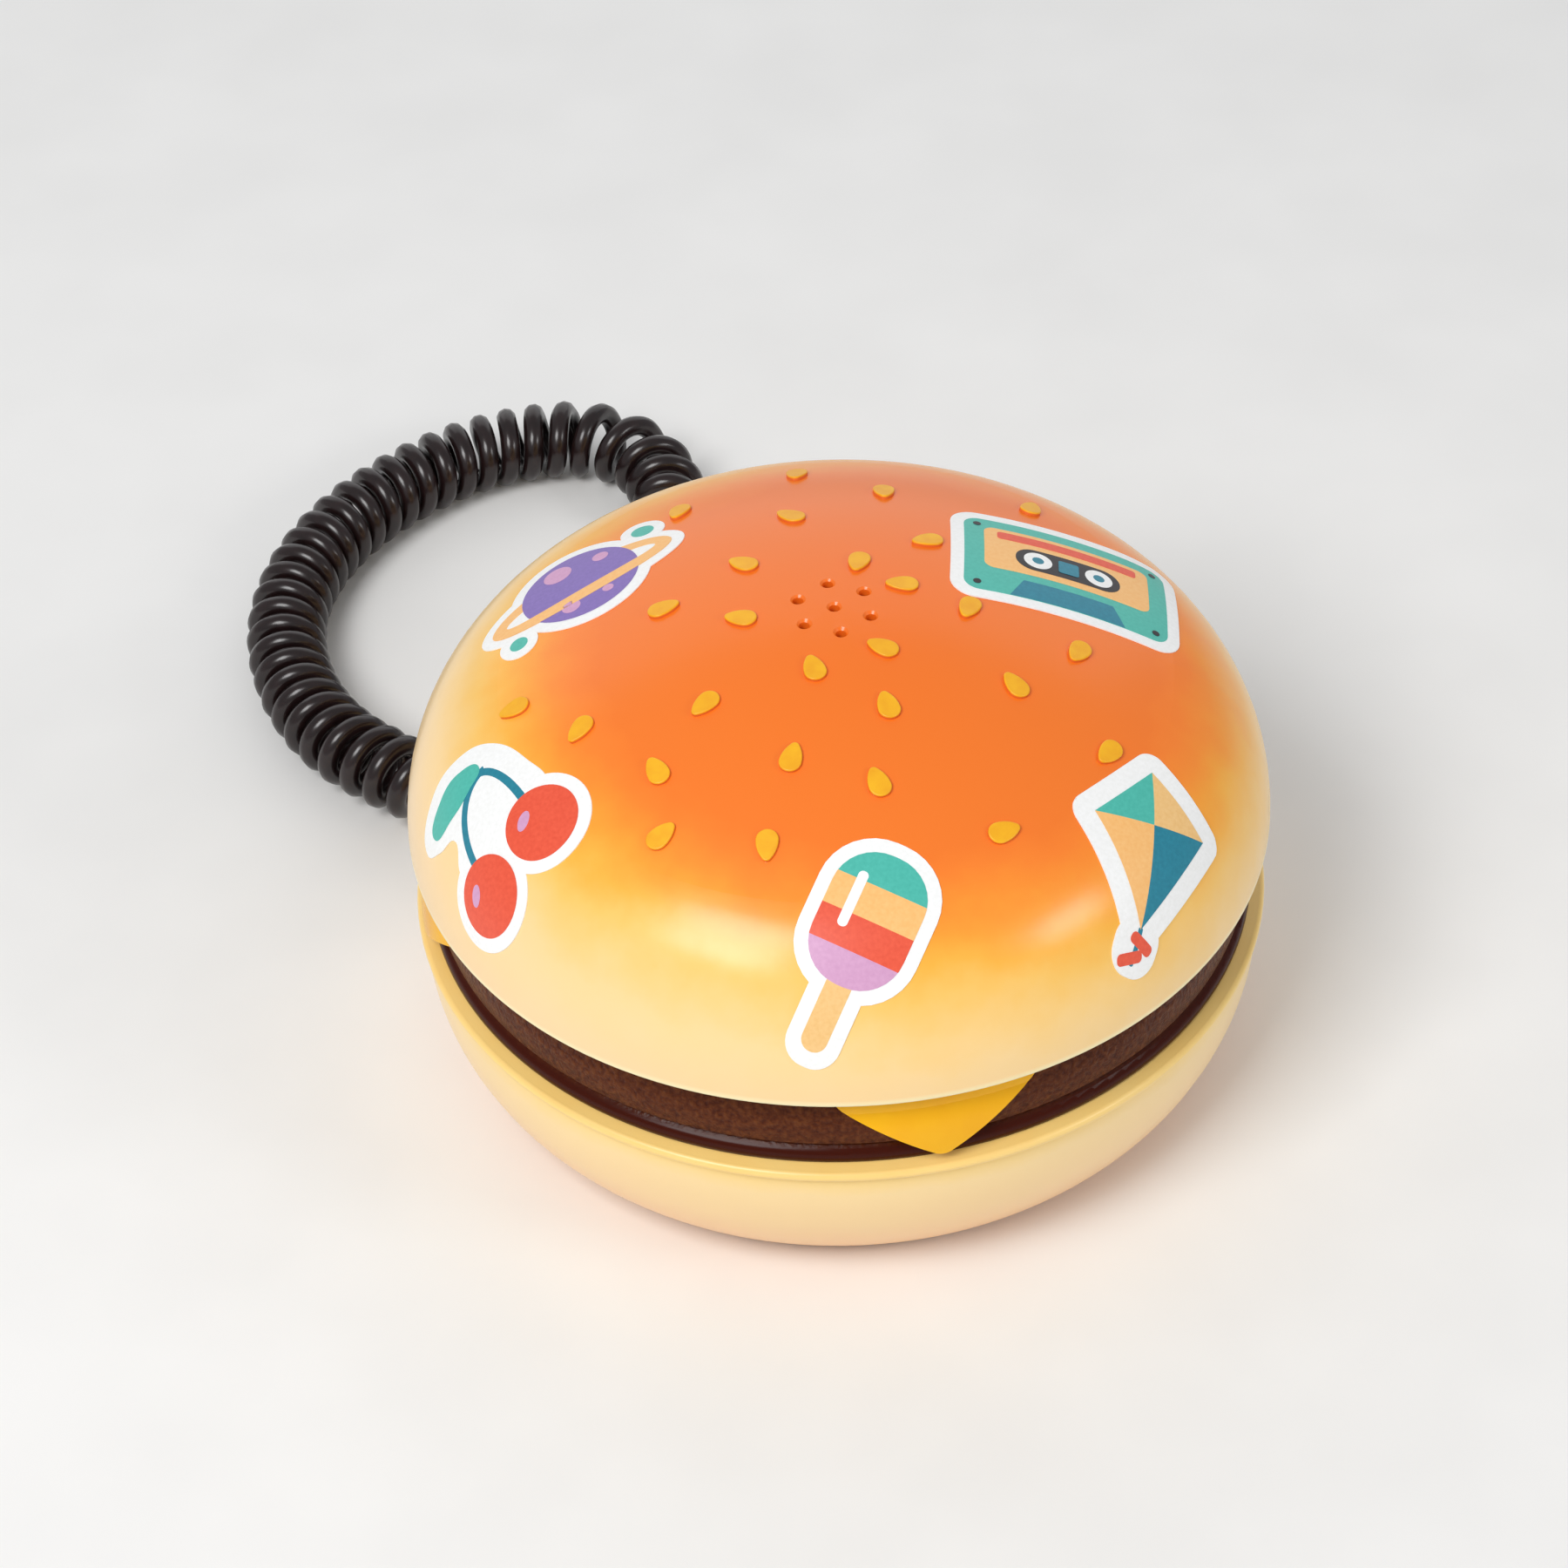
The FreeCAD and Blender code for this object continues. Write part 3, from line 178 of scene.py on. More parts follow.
# %% [markdown]
# ## The curly cord
# A curly cord is a vinyl wire wound tight on a rod and baked, so it springs back into close turns.
# A spiral could be drawn straight and bent along a path with a modifier, but then its length isn't
# known.  Here the middle of the curls is one smooth spline, and each point of the wire is set
# beside that line by a turning arm.  The arm grows from nothing at both ends, and the winding opens
# in the sharp bend behind the bun, as it does on the table.

# %% The route from the gland to the plug
wire = 3.5 * mm
curl_radius = 5.05 * mm
curl_pitch = 4.6 * mm
curl_ramp = 8 * mm
curl_open = 0.36
bend_back = 28 * mm
bend_reach = 20 * mm
exit_bearing = math.radians(147.3)
# The heights and the points of the route are in mm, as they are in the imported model's source.
exit_height = 8.4
lie = 6.9


def beside_wall(radius):
    """A point on the straight way out of the wall, in mm."""
    return (radius * math.cos(exit_bearing), radius * math.sin(exit_bearing), exit_height)


ways_out = (50.3, 59.7, 70.7, 91.7)
lead_start, wall_face, curl_start, straight_end = [beside_wall(r) for r in ways_out]
tail_start = (-26.5, 106.5, lie)
route = [
    lead_start, wall_face, curl_start, straight_end,
    (-85.5, 59.9, lie + 0.4), (-90.9, 72.2, lie), (-93.1, 85.3, lie), (-91.2, 98.6, lie),
    (-85.6, 111.1, lie), (-76.9, 121.8, lie), (-66.0, 130.4, lie), (-54.6, 135.0, lie),
    (-42.2, 136.2, lie), (-32.2, 129.8, lie), (-27.9, 118.8, lie), tail_start,
    (-25.3, 95.6, lie), (-19.8, 86.6, 3.6), (-10.3, 81.2, 2.2), (0.7, 80.4, 3.4),
    (11.2, 81.6, 3.4)]


def smooth_curve(name, points, thickness=0.0):
    """A curve object with one open NURBS spline that has these points as its control points.

    A curve's box counts the radius of its points, so the thickness is given there."""
    curve = bpy.data.curves.new(name, "CURVE")
    curve.dimensions = "3D"
    spline = curve.splines.new("NURBS")
    spline.points.add(len(points) - 1)
    for point, at in zip(spline.points, points):
        point.co = (*at, 1)
        point.radius = thickness / 2
    curve.bevel_depth = 1.0 if thickness else 0.0
    spline.order_u = 3
    spline.use_endpoint_u = True
    piece = bpy.data.objects.new(name, curve)
    bpy.context.scene.collection.objects.link(piece)
    return piece


guide = smooth_curve("cord_guide", [Vector(p) * mm for p in route])
guide.data.splines[0].resolution_u = 32
line_mesh = bpy.data.meshes.new_from_object(guide)
line = [v.co.copy() for v in line_mesh.vertices]
bpy.data.objects.remove(guide)
bpy.data.meshes.remove(line_mesh)
run = [0.0]
for a, b in zip(line, line[1:]):
    run.append(run[-1] + (b - a).length)
print("middle of the cord, mm:", round(run[-1] / mm, 1))

# %% How the wire winds round its middle line
def nearest_run(point):
    """How far along the middle line a point lies."""
    return min(zip(line, run), key=lambda pair: (pair[0] - point).length)[1]


def on_line(s):
    """The middle line's point and direction at a distance along it."""
    i = min(max(1, next((k for k, r in enumerate(run) if r >= s), len(run) - 1)), len(run) - 1)
    share = (s - run[i - 1]) / (run[i] - run[i - 1])
    return line[i - 1].lerp(line[i], share), (line[i] - line[i - 1]).normalized()


def wound(u, total):
    """Distance wound at the full pitch; the winding starts and ends slack."""
    if u > total / 2:
        return 2 * wound(total / 2, total) - wound(total - u, total)
    t = min(1.0, u / curl_ramp)
    return curl_ramp * t ** 3 / 3 + max(0.0, u - curl_ramp)


def slack(s, total):
    """Distance given up by the winding, which opens in the sharp bend."""
    t = max(-1.0, min(1.0, (s - total + bend_back) / bend_reach))
    return curl_open * bend_reach * (t + 1 + math.sin(math.pi * t) / math.pi) / 2


def curl_point(s):
    """The wire's place beside the middle line at a distance along it."""
    at, way = on_line(s)
    u = s - first_curl
    share = max(0.0, min(1.0, (u - wire) / curl_ramp, (curled - wire - u) / curl_ramp))
    arm = curl_radius * (1 - math.cos(math.pi * share)) / 2
    angle = 2 * math.pi * (wound(u - wire, curled - 2 * wire) - slack(u, curled)) / curl_pitch
    side = way.cross(Vector((0, 0, 1))).normalized()
    return at + side * (arm * math.cos(angle)) + side.cross(way) * (arm * math.sin(angle))


print("turns fit every", round(curl_pitch / mm, 1), "mm of the middle line")

# %% Set the points of the wire
first_curl = nearest_run(Vector(curl_start) * mm)
curled = nearest_run(Vector(tail_start) * mm) - first_curl
points_per_turn = 20
plain_step = 3 * mm
curl_step = curl_pitch / points_per_turn
lead_runs = [plain_step * i for i in range(int(first_curl / plain_step))]
curl_count = int((curled - 2 * wire) / curl_step)
curl_runs = [first_curl + wire + curl_step * i for i in range(curl_count + 1)]
tail_from = curl_runs[-1] + wire
tail_count = int((run[-1] - tail_from) / plain_step)
tail_runs = [tail_from + (run[-1] - tail_from) * i / tail_count for i in range(tail_count + 1)]
wire_points = [on_line(s)[0] for s in lead_runs]
wire_points += [curl_point(s) for s in curl_runs]
wire_points += [on_line(s)[0] for s in tail_runs]
cord = smooth_curve("curly_cord", wire_points, wire)
cord.data.splines[0].resolution_u = 2
cord.data.bevel_resolution = 3
cord.data.use_fill_caps = True
wire_length = sum((b - a).length for a, b in zip(wire_points, wire_points[1:]))
print("turns:", round((curled - 2 * wire) / curl_pitch), "wire, m:", round(wire_length, 3))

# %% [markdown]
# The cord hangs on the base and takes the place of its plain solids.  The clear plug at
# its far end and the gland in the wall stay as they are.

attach(cord, "base")
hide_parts("cord_lead", "cord_curls", "cord_tail")

# %% [markdown]
# ## Sprayed and moulded finishes of the burger
# The top bun is moulded in pale ABS and sprayed with orange from above, so the colour is deepest on
# the crown and fades to the bare plastic near the rim.  A painted texture could do that; here the
# distance from the spray gun's aim sets the colour, and a little noise breaks up the edge of the
# mist.  A thin pale line along the rim is a painted highlight for the light its rounded lip
# catches.  Lacquer gives soft, wide reflections with a trace of orange peel.

# %% Toasted top bun
# Gloss lacquer over a sprayed fade: saturated orange crown, creamy rim, slightly rippled glints.
spray_aim = Vector((7, -2, 80)) * mm
mist_spread = 8 * mm
fade_reach = 80 * mm
fade = [(0, "#f8771e"), (42, "#f97d25"), (46, "#fd8529"), (50, "#ff932d"), (54, "#ffa534"),
        (58, "#ffb843"), (62, "#ffca68"), (66, "#ffd486"), (70, "#ffda9a"), (77, "#ffdca6")]
toasted, shader, place = new_finish("lacquered_abs_toasted_bun", {"Roughness": 0.24, "IOR": 1.5})
mist = add_node(toasted, "ShaderNodeTexNoise", {"Scale": 1 / (9 * mm), "Detail": 6.0},
                {"Vector": place})
reach = add_node(toasted, "ShaderNodeVectorMath", {"operation": "DISTANCE", 1: spray_aim},
                 {0: place})
misty = add_node(toasted, "ShaderNodeMath", {"operation": "MULTIPLY_ADD", 1: mist_spread},
                 {0: mist.outputs["Fac"], 2: reach.outputs["Value"]})
share = add_node(toasted, "ShaderNodeMapRange",
                 {"From Min": mist_spread / 2, "From Max": mist_spread / 2 + fade_reach},
                 {"Value": misty.outputs["Value"]})
tone = add_node(toasted, "ShaderNodeValToRGB", links={"Fac": share.outputs["Result"]},
                stops=[(d * mm / fade_reach, code) for d, code in fade])
# Painted highlight: a pale band at the rim's lower edge stands in for light caught by its rounded
# lip.
rim_low, rim_high = 42.4 * mm, 43.4 * mm
height = add_node(toasted, "ShaderNodeSeparateXYZ", links={"Vector": place})
painted_rim_highlight = add_node(toasted, "ShaderNodeMapRange",
                    {"From Min": rim_low, "From Max": rim_high, "To Min": 0.9, "To Max": 0.0},
                    {"Value": height.outputs["Z"]})
rim_with_painted_highlight = add_node(toasted, "ShaderNodeMix", {"data_type": "RGBA", 7: linear("#fff4c4")},
                   {0: painted_rim_highlight.outputs["Result"], 6: tone.outputs["Color"]})
peel = add_node(toasted, "ShaderNodeTexNoise", {"Scale": 1 / (1.6 * mm), "Detail": 2.0},
                {"Vector": place})
ripple = add_node(toasted, "ShaderNodeBump", {"Strength": 0.04, "Distance": 0.2 * mm},
                  {"Height": peel.outputs["Fac"]})
toasted.node_tree.links.new(rim_with_painted_highlight.outputs[2], shader.inputs["Base Color"])
toasted.node_tree.links.new(ripple.outputs["Normal"], shader.inputs["Normal"])
paint(toasted, "top_bun")

# %% [markdown]
# The lower bun is the same plastic left bare.  A ramp over the height makes it pinker towards the
# foot, which is painted light shining through the wall, and warmer on its ledge, partly its own
# colour and partly painted bounce light from the orange parts around it.  Faint moulding clouds
# break it up.

# %% Bare lower bun
# Satin moulded ABS, creamy; the pink of its foot is painted light through the wall, and its ledge
# is warmed partly by painted bounce light.
bare, shader, place = new_finish("moulded_abs_bare_bun", {"Roughness": 0.3, "IOR": 1.5})
height = add_node(bare, "ShaderNodeSeparateXYZ", links={"Vector": place})
cloud = add_node(bare, "ShaderNodeTexNoise", {"Scale": 1 / (14 * mm), "Detail": 3.0},
                 {"Vector": place})
drift = add_node(bare, "ShaderNodeMath", {"operation": "MULTIPLY_ADD", 1: 4 * mm},
                 {0: cloud.outputs["Fac"], 2: height.outputs["Z"]})
share = add_node(bare, "ShaderNodeMapRange", {"From Min": 2 * mm, "From Max": 42 * mm},
                 {"Value": drift.outputs["Value"]})
# Painted light: the pink low stops stand in for light through the wall, the warm top ones partly
# for bounce light on the ledge.
tone = add_node(bare, "ShaderNodeValToRGB", links={"Fac": share.outputs["Result"]},
                stops=[(0.02, "#fcc28a"), (0.18, "#fdcd96"), (0.38, "#ffdba2"), (0.57, "#ffdfa4"),
                       (0.64, "#ffdc90"), (0.69, "#ffd884"), (0.74, "#ffd074")])
peel = add_node(bare, "ShaderNodeTexNoise", {"Scale": 1 / (1.2 * mm)}, {"Vector": place})
ripple = add_node(bare, "ShaderNodeBump", {"Strength": 0.04, "Distance": 0.2 * mm},
                  {"Height": peel.outputs["Fac"]})
bare.node_tree.links.new(tone.outputs["Color"], shader.inputs["Base Color"])
bare.node_tree.links.new(ripple.outputs["Normal"], shader.inputs["Normal"])
paint(bare, "lower_bun", "lid_hinge_leaf", "base_hinge_bracket")

# %% [markdown]
# The patty is dark brown plastic with a fine grilled texture above the groove and a smooth, redder
# bead below it.  Height again tells the two apart: it mixes the colours and switches the grain off.

# %% Patty
# Textured ABS: warm brown grain that scatters small glints, over a smooth chestnut bead.
patty, shader, place = new_finish("textured_abs_patty", {"Specular IOR Level": 0.14})
groove_height = 30.8 * mm
height = add_node(patty, "ShaderNodeSeparateXYZ", links={"Vector": place})
grained = add_node(patty, "ShaderNodeMapRange",
                   {"From Min": groove_height - 0.3 * mm, "From Max": groove_height + 0.7 * mm},
                   {"Value": height.outputs["Z"]})
grit = add_node(patty, "ShaderNodeTexNoise", {"Scale": 1 / (0.8 * mm), "Detail": 5.0},
                {"Vector": place})
tone = add_node(patty, "ShaderNodeValToRGB", links={"Fac": grit.outputs["Fac"]},
                stops=[(0.3, "#421706"), (0.5, "#57280f"), (0.72, "#6b3919")])
mixed = add_node(patty, "ShaderNodeMix", {"data_type": "RGBA", 6: linear("#3e1003")},
                 {0: grained.outputs["Result"], 7: tone.outputs["Color"]})
sheen = add_node(patty, "ShaderNodeMapRange", {"To Min": 0.22, "To Max": 0.29},
                 {"Value": grained.outputs["Result"]})
bumps = add_node(patty, "ShaderNodeBump", {"Distance": 0.3 * mm},
                 {"Height": grit.outputs["Fac"], "Strength": grained.outputs["Result"]})
patty.node_tree.links.new(mixed.outputs[2], shader.inputs["Base Color"])
patty.node_tree.links.new(sheen.outputs["Result"], shader.inputs["Roughness"])
patty.node_tree.links.new(bumps.outputs["Normal"], shader.inputs["Normal"])
paint(patty, "patty_deck", "lid_cover")

# %% [markdown]
# Sesame seeds are moulded on the bun and sprayed over with it; then a roller touches their flat
# tops with ochre.  The height above the crown's sphere tells a top from a wall.

# %% Sesame seeds
# Rolled-on paint: ochre tops a little uneven, with the bun's deep orange left on the walls.
crown_radius = 106.5 * mm
crown_centre = Vector((0, 0, -26.5)) * mm
sesame, shader, place = new_finish("roller_painted_abs_sesame", {"Roughness": 0.4, "IOR": 1.5})
reach = add_node(sesame, "ShaderNodeVectorMath", {"operation": "DISTANCE", 1: crown_centre},
                 {0: place})
topped = add_node(sesame, "ShaderNodeMapRange",
                  {"From Min": crown_radius + 0.3 * mm, "From Max": crown_radius + 0.45 * mm},
                  {"Value": reach.outputs["Value"]})
blot = add_node(sesame, "ShaderNodeTexNoise", {"Scale": 1 / (2.2 * mm), "Detail": 4.0},
                {"Vector": place})
tone = add_node(sesame, "ShaderNodeValToRGB", links={"Fac": blot.outputs["Fac"]},
                stops=[(0.3, "#f3a80c"), (0.7, "#fbb914")])
mixed = add_node(sesame, "ShaderNodeMix", {"data_type": "RGBA", 6: linear("#e8702a")},
                 {0: topped.outputs["Result"], 7: tone.outputs["Color"]})
dents = add_node(sesame, "ShaderNodeBump", {"Strength": 0.08, "Distance": 0.2 * mm},
                 {"Height": blot.outputs["Fac"]})
sesame.node_tree.links.new(mixed.outputs[2], shader.inputs["Base Color"])
sesame.node_tree.links.new(dents.outputs["Normal"], shader.inputs["Normal"])
paint(sesame, "sesame_seeds")

# %% [markdown]
# The rest of the moulded parts differ in colour, gloss and the size of their grain, but are built
# alike: a noise of that size runs between two near tones and raises a slight bump.  One function
# makes such a finish.

# %% A finish with grain
def mottled(name, dark, light, grain, bump, settings):
    """A finish with two near tones and a bump, both from a noise whose grain has a real size."""
    finish, shader, place = new_finish(name, settings)
    noise = add_node(finish, "ShaderNodeTexNoise", {"Scale": 1 / (grain * mm), "Detail": 4.0},
                     {"Vector": place})
    tone = add_node(finish, "ShaderNodeValToRGB", links={"Fac": noise.outputs["Fac"]},
                    stops=[(0.32, dark), (0.68, light)])
    dents = add_node(finish, "ShaderNodeBump", {"Strength": bump, "Distance": 0.2 * mm},
                     {"Height": noise.outputs["Fac"]})
    finish.node_tree.links.new(tone.outputs["Color"], shader.inputs["Base Color"])
    finish.node_tree.links.new(dents.outputs["Normal"], shader.inputs["Normal"])
    return finish


# Glossy moulded ABS cheese: egg yellow, smooth, with soft clouds from the moulding.
cheese = mottled("glossy_abs_cheese", "#f4ae04", "#fbbc0a", 12, 0.02,
                 {"Roughness": 0.26, "Specular IOR Level": 0.35})
paint(cheese, "cheese_slice", "hook_plunger")
# Fine spark-eroded texture: ivory, matt enough that the numerals read from any side.
ivory = mottled("spark_textured_abs_key", "#ece0c8", "#f4ead6", 0.8, 0.12, {"Roughness": 0.45})
key_names = [name for name in nodes if name.startswith("key_") and name != "key_mat"]
paint(ivory, *key_names)

# %% [markdown]
# Inside and underneath there are steel screws, a green circuit board, black switches, a rubber pad
# and a clear plug.  They show when the lid is up or the telephone is turned over, so they get their
# own finishes too.

# %% Metal parts
# Bright zinc plating: pale grey steel with faint clouded reflections.
zinc = mottled("zinc_plated_steel", "#b9babc", "#cfd0cf", 1.5, 0.05,
               {"Metallic": 1.0, "Roughness": 0.28})
paint(zinc, "hinge_pin", *[name for name in nodes if name.endswith("screws")])
# Pressed tin-plate of small loudspeakers: darker and rougher than the screws.
tinplate = mottled("pressed_tinplate", "#8f9093", "#a8a8a8", 2.0, 0.06,
                   {"Metallic": 1.0, "Roughness": 0.36})
paint(tinplate, "earpiece", "ringer_speaker", "microphone")
# Raw hot-rolled plate: dark scale with blotches, no shine.
scale = mottled("hot_rolled_steel", "#4c4a49", "#6a6663", 6.0, 0.15,
                {"Metallic": 1.0, "Roughness": 0.55})
paint(scale, "ballast_plate")
# Gold-flashed brass blades: warm, bright and finely drawn.
brass = mottled("gold_flashed_brass", "#d3a548", "#e6c06a", 0.6, 0.04,
                {"Metallic": 1.0, "Roughness": 0.22})
paint(brass, "plug_contacts")

# %% Plastic and rubber parts
# Black switch plastic: near black, satin, with a fine moulded grain.
black = mottled("moulded_nylon_black", "#17171a", "#222226", 0.8, 0.1, {"Roughness": 0.4})
paint(black, "ringer_retainer", "hook_switch", "ringer_switch", "tone_switch", "ringer_knob",
      "tone_knob")
# Open-cell foam: charcoal, matt, with pores about as wide as the grain.
foam = mottled("open_cell_foam", "#2a2a2b", "#4a4a4a", 0.5, 0.7, {"Roughness": 0.95})
paint(foam, "earpiece_gasket")
# Moulded rubber foot: dark grey, dusty and matt.
rubber = mottled("moulded_rubber", "#232221", "#312f2d", 1.0, 0.25, {"Roughness": 0.75})
paint(rubber, "base_pad", "mic_boot")
# Silicone key mat: milky grey, soft and slightly see-through.
silicone = mottled("moulded_silicone", "#b3b2ad", "#c4c3bd", 3.0, 0.04,
                   {"Roughness": 0.5, "Subsurface Weight": 0.1})
paint(silicone, "key_mat")
# Solder mask over copper tracks: mid green with lighter runs, glossy.
board = mottled("solder_masked_board", "#0f5a38", "#1d7a4c", 2.2, 0.1, {"Roughness": 0.3})
paint(board, "main_pcb")
# Clear polycarbonate: water-clear with a faint smoky tint.
clear = mottled("clear_polycarbonate", "#e3e8ea", "#f1f4f5", 3.0, 0.02,
                {"Roughness": 0.08, "IOR": 1.58, "Transmission Weight": 0.9})
paint(clear, "modular_plug")
# Thin vinyl insulation: red-brown hook-up wire with a dull gloss.
insulation = mottled("vinyl_insulation", "#8c2f22", "#a5402f", 1.0, 0.05, {"Roughness": 0.4})
paint(insulation, "line_wires", "speaker_wires")
# Glossy brown-black vinyl of the cord: deep colour, sharp narrow glints on every turn.
vinyl = mottled("extruded_vinyl_cord", "#1a0f0f", "#241616", 2.0, 0.03,
                {"Roughness": 0.24, "IOR": 1.53})
paint(vinyl, "cord_gland", "cord_lead", "cord_curls", "cord_tail")
cord.data.materials.append(vinyl)

# %% [markdown]
# ## Stickers
# Vinyl stickers follow the bun without a crease, so a flat picture would float off its shoulders.
# They are made the way they are printed and cut: a sheet is laid on the bun, and a die cuts the
# outline out of it.  The sheet is a grid shrunk onto a plain copy of the bun's form and given
# thickness, and the die is a flat drawing raised to a prism; what both share is the sticker.  A
# white backing comes first, then each colour a hair above it, with all grids on the same raster
# so that no layer pokes through the next.

# %% A plain form of the bun to lay the sheets on
shoulder_radius = 28.39 * mm
shoulder_ring = 36.61 * mm
shoulder_height = 42.5 * mm
meeting_height = 67.6 * mm


def finish_edit(action):
    """Run one step in edit mode with everything selected."""
    bpy.ops.object.mode_set(mode="EDIT")
    bpy.ops.mesh.select_all(action="SELECT")
    action()
    bpy.ops.object.mode_set(mode="OBJECT")


bpy.ops.object.select_all(action="DESELECT")
bpy.ops.mesh.primitive_uv_sphere_add(segments=192, ring_count=192, radius=crown_radius,
                                     location=crown_centre)
bun_form = bpy.context.object
bpy.ops.object.transform_apply(location=True, rotation=True, scale=True)
finish_edit(lambda: bpy.ops.mesh.bisect(plane_co=(0, 0, meeting_height), plane_no=(0, 0, -1),
                                        clear_outer=True))
bpy.ops.mesh.primitive_torus_add(major_segments=192, minor_segments=128,
                                 major_radius=shoulder_ring, minor_radius=shoulder_radius,
                                 location=(0, 0, shoulder_height))
bun_form.select_set(True)
bpy.context.view_layer.objects.active = bun_form
bpy.ops.object.join()
bun_form.name = "bun_form"
print("form for the stickers:", len(bun_form.data.polygons), "faces")

# %% Dies: flat drawings that are raised to prisms
def in_place():
    """Put the active piece's place into its mesh."""
    bpy.ops.object.transform_apply(location=True, rotation=True, scale=True)
    return bpy.context.object


def round_die(x, y, width, tall=None, turn=0):
    """A disc or an oval."""
    bpy.ops.mesh.primitive_circle_add(vertices=64, radius=0.5, fill_type="NGON",
                                      location=(x * mm, y * mm, 0),
                                      rotation=(0, 0, math.radians(turn)))
    bpy.context.object.scale = (width * mm, (tall or width) * mm, 1)
    return in_place()


def bar_die(x, y, width, tall, corner, turn=0):
    """A bar with rounded corners."""
    bpy.ops.mesh.primitive_plane_add(size=1, location=(x * mm, y * mm, 0),
                                     rotation=(0, 0, math.radians(turn)))
    bpy.context.object.scale = (width * mm, tall * mm, 1)
    piece = in_place()
    finish_edit(lambda: bpy.ops.mesh.bevel(offset=corner * mm, segments=8, affect="VERTICES"))
    return piece


ring_points = 96


def ring_die(x, y, width, tall, band, turn=0):
    """A flat oval ring: its outer edge is drawn and extruded inwards."""
    bpy.ops.mesh.primitive_circle_add(vertices=ring_points, radius=0.5, fill_type="NOTHING")
    finish_edit(lambda: bpy.ops.mesh.extrude_region_move())
    piece = bpy.context.object
    for i, vertex in enumerate(piece.data.vertices):
        inner = 1 if i >= ring_points else 0
        vertex.co.x *= (width - 2 * band * inner) * mm
        vertex.co.y *= (tall - 2 * band * inner) * mm
    piece.location = (x * mm, y * mm, 0)
    piece.rotation_euler = (0, 0, math.radians(turn))
    return in_place()


def drawn_die(points, handles):
    """A flat outline through these points, rounded (AUTO) or straight (VECTOR)."""
    curve = bpy.data.curves.new("outline", "CURVE")
    curve.dimensions = "2D"
    curve.fill_mode = "BOTH"
    spline = curve.splines.new("BEZIER")
    spline.bezier_points.add(len(points) - 1)
    spline.use_cyclic_u = True
    for knot, (x, y) in zip(spline.bezier_points, points):
        knot.co = (x * mm, y * mm, 0)
        knot.handle_left_type = handles
        knot.handle_right_type = handles
    piece = bpy.data.objects.new("outline", curve)
    bpy.context.scene.collection.objects.link(piece)
    bpy.ops.object.select_all(action="DESELECT")
    piece.select_set(True)
    bpy.context.view_layer.objects.active = piece
    bpy.ops.object.convert(target="MESH")
    return in_place()


print("dies ready: round, bar, ring, drawn")

# %% Lay a sheet and cut it
sheet_lift = 10 * mm
sheet_step = 1.4 * mm
die_depth = 30 * mm


def add_modifier(piece, kind, settings):
    """Add a modifier with its settings and apply it."""
    bpy.ops.object.select_all(action="DESELECT")
    piece.select_set(True)
    bpy.context.view_layer.objects.active = piece
    modifier = piece.modifiers.new(kind.lower(), kind)
    for name, value in settings.items():
        setattr(modifier, name, value)
    bpy.ops.object.modifier_apply(modifier=modifier.name)


def joined(pieces):
    """Join pieces into one."""
    bpy.ops.object.select_all(action="DESELECT")
    for piece in pieces:
        piece.select_set(True)
    bpy.context.view_layer.objects.active = pieces[0]
    if len(pieces) > 1:
        bpy.ops.object.join()
    return bpy.context.object


def cut_layer(form, spot, dies, lift, thickness, finish):
    """Cut one layer of a sticker out of a thin sheet that lies on a form."""
    die = joined(dies)
    xs = [v.co.x / sheet_step for v in die.data.vertices]
    ys = [v.co.y / sheet_step for v in die.data.vertices]
    left, right = math.floor(min(xs)) - 1, math.ceil(max(xs)) + 1
    near, far = math.floor(min(ys)) - 1, math.ceil(max(ys)) + 1
    add_modifier(die, "SOLIDIFY", {"thickness": die_depth, "offset": 0.0})
    finish_edit(lambda: bpy.ops.mesh.normals_make_consistent(inside=False))
    die.matrix_world = spot
    bpy.ops.object.select_all(action="DESELECT")
    bpy.ops.mesh.primitive_grid_add(
        x_subdivisions=right - left, y_subdivisions=far - near, size=1,
        location=((left + right) / 2 * sheet_step, (near + far) / 2 * sheet_step, sheet_lift))
    bpy.context.object.scale = ((right - left) * sheet_step, (far - near) * sheet_step, 1)
    sheet = in_place()
    sheet.matrix_world = spot
    add_modifier(sheet, "SHRINKWRAP", {
        "target": form, "wrap_method": "PROJECT", "use_project_z": True, "offset": lift * mm,
        "use_negative_direction": True, "use_positive_direction": False})
    add_modifier(sheet, "SOLIDIFY", {"thickness": thickness * mm, "offset": 1.0})
    add_modifier(sheet, "BOOLEAN", {"operation": "INTERSECT", "object": die, "solver": "EXACT",
                                    "use_self": len(dies) > 1})
    bpy.data.objects.remove(die)
    sheet.data.materials.clear()
    sheet.data.materials.append(finish)
    return in_place()


def spot_on(form, start, way, up, turn=0):
    """The place where a ray meets a form, with +Z off its surface and +Y as near up as can be."""
    at, normal = form.ray_cast(Vector(start) * mm, Vector(way))[1:3]
    across = Vector(up).cross(normal).normalized()
    axes = Matrix((across, normal.cross(across), normal)).transposed().to_4x4()
    return Matrix.Translation(at) @ axes @ Matrix.Rotation(math.radians(turn), 4, "Z")


print("sheets have a raster of", round(sheet_step / mm, 1), "mm")

# %% [markdown]
# A sticker is a stack: the backing, then inks at levels one ink apart.  An ink that runs down the
# steep side of the bun gets half a level more, because the lift there is partly sideways.

# %% Stack the layers of a sticker
far_off = 200


def on_bun(x, y, turn):
    """The place on the bun under a point, in mm."""
    return spot_on(bun_form, (x, y, far_off), (0, 0, -1), (0, 1, 0), turn)


backing_lift = 0.02
backing_thickness = 0.16
ink_thickness = 0.03


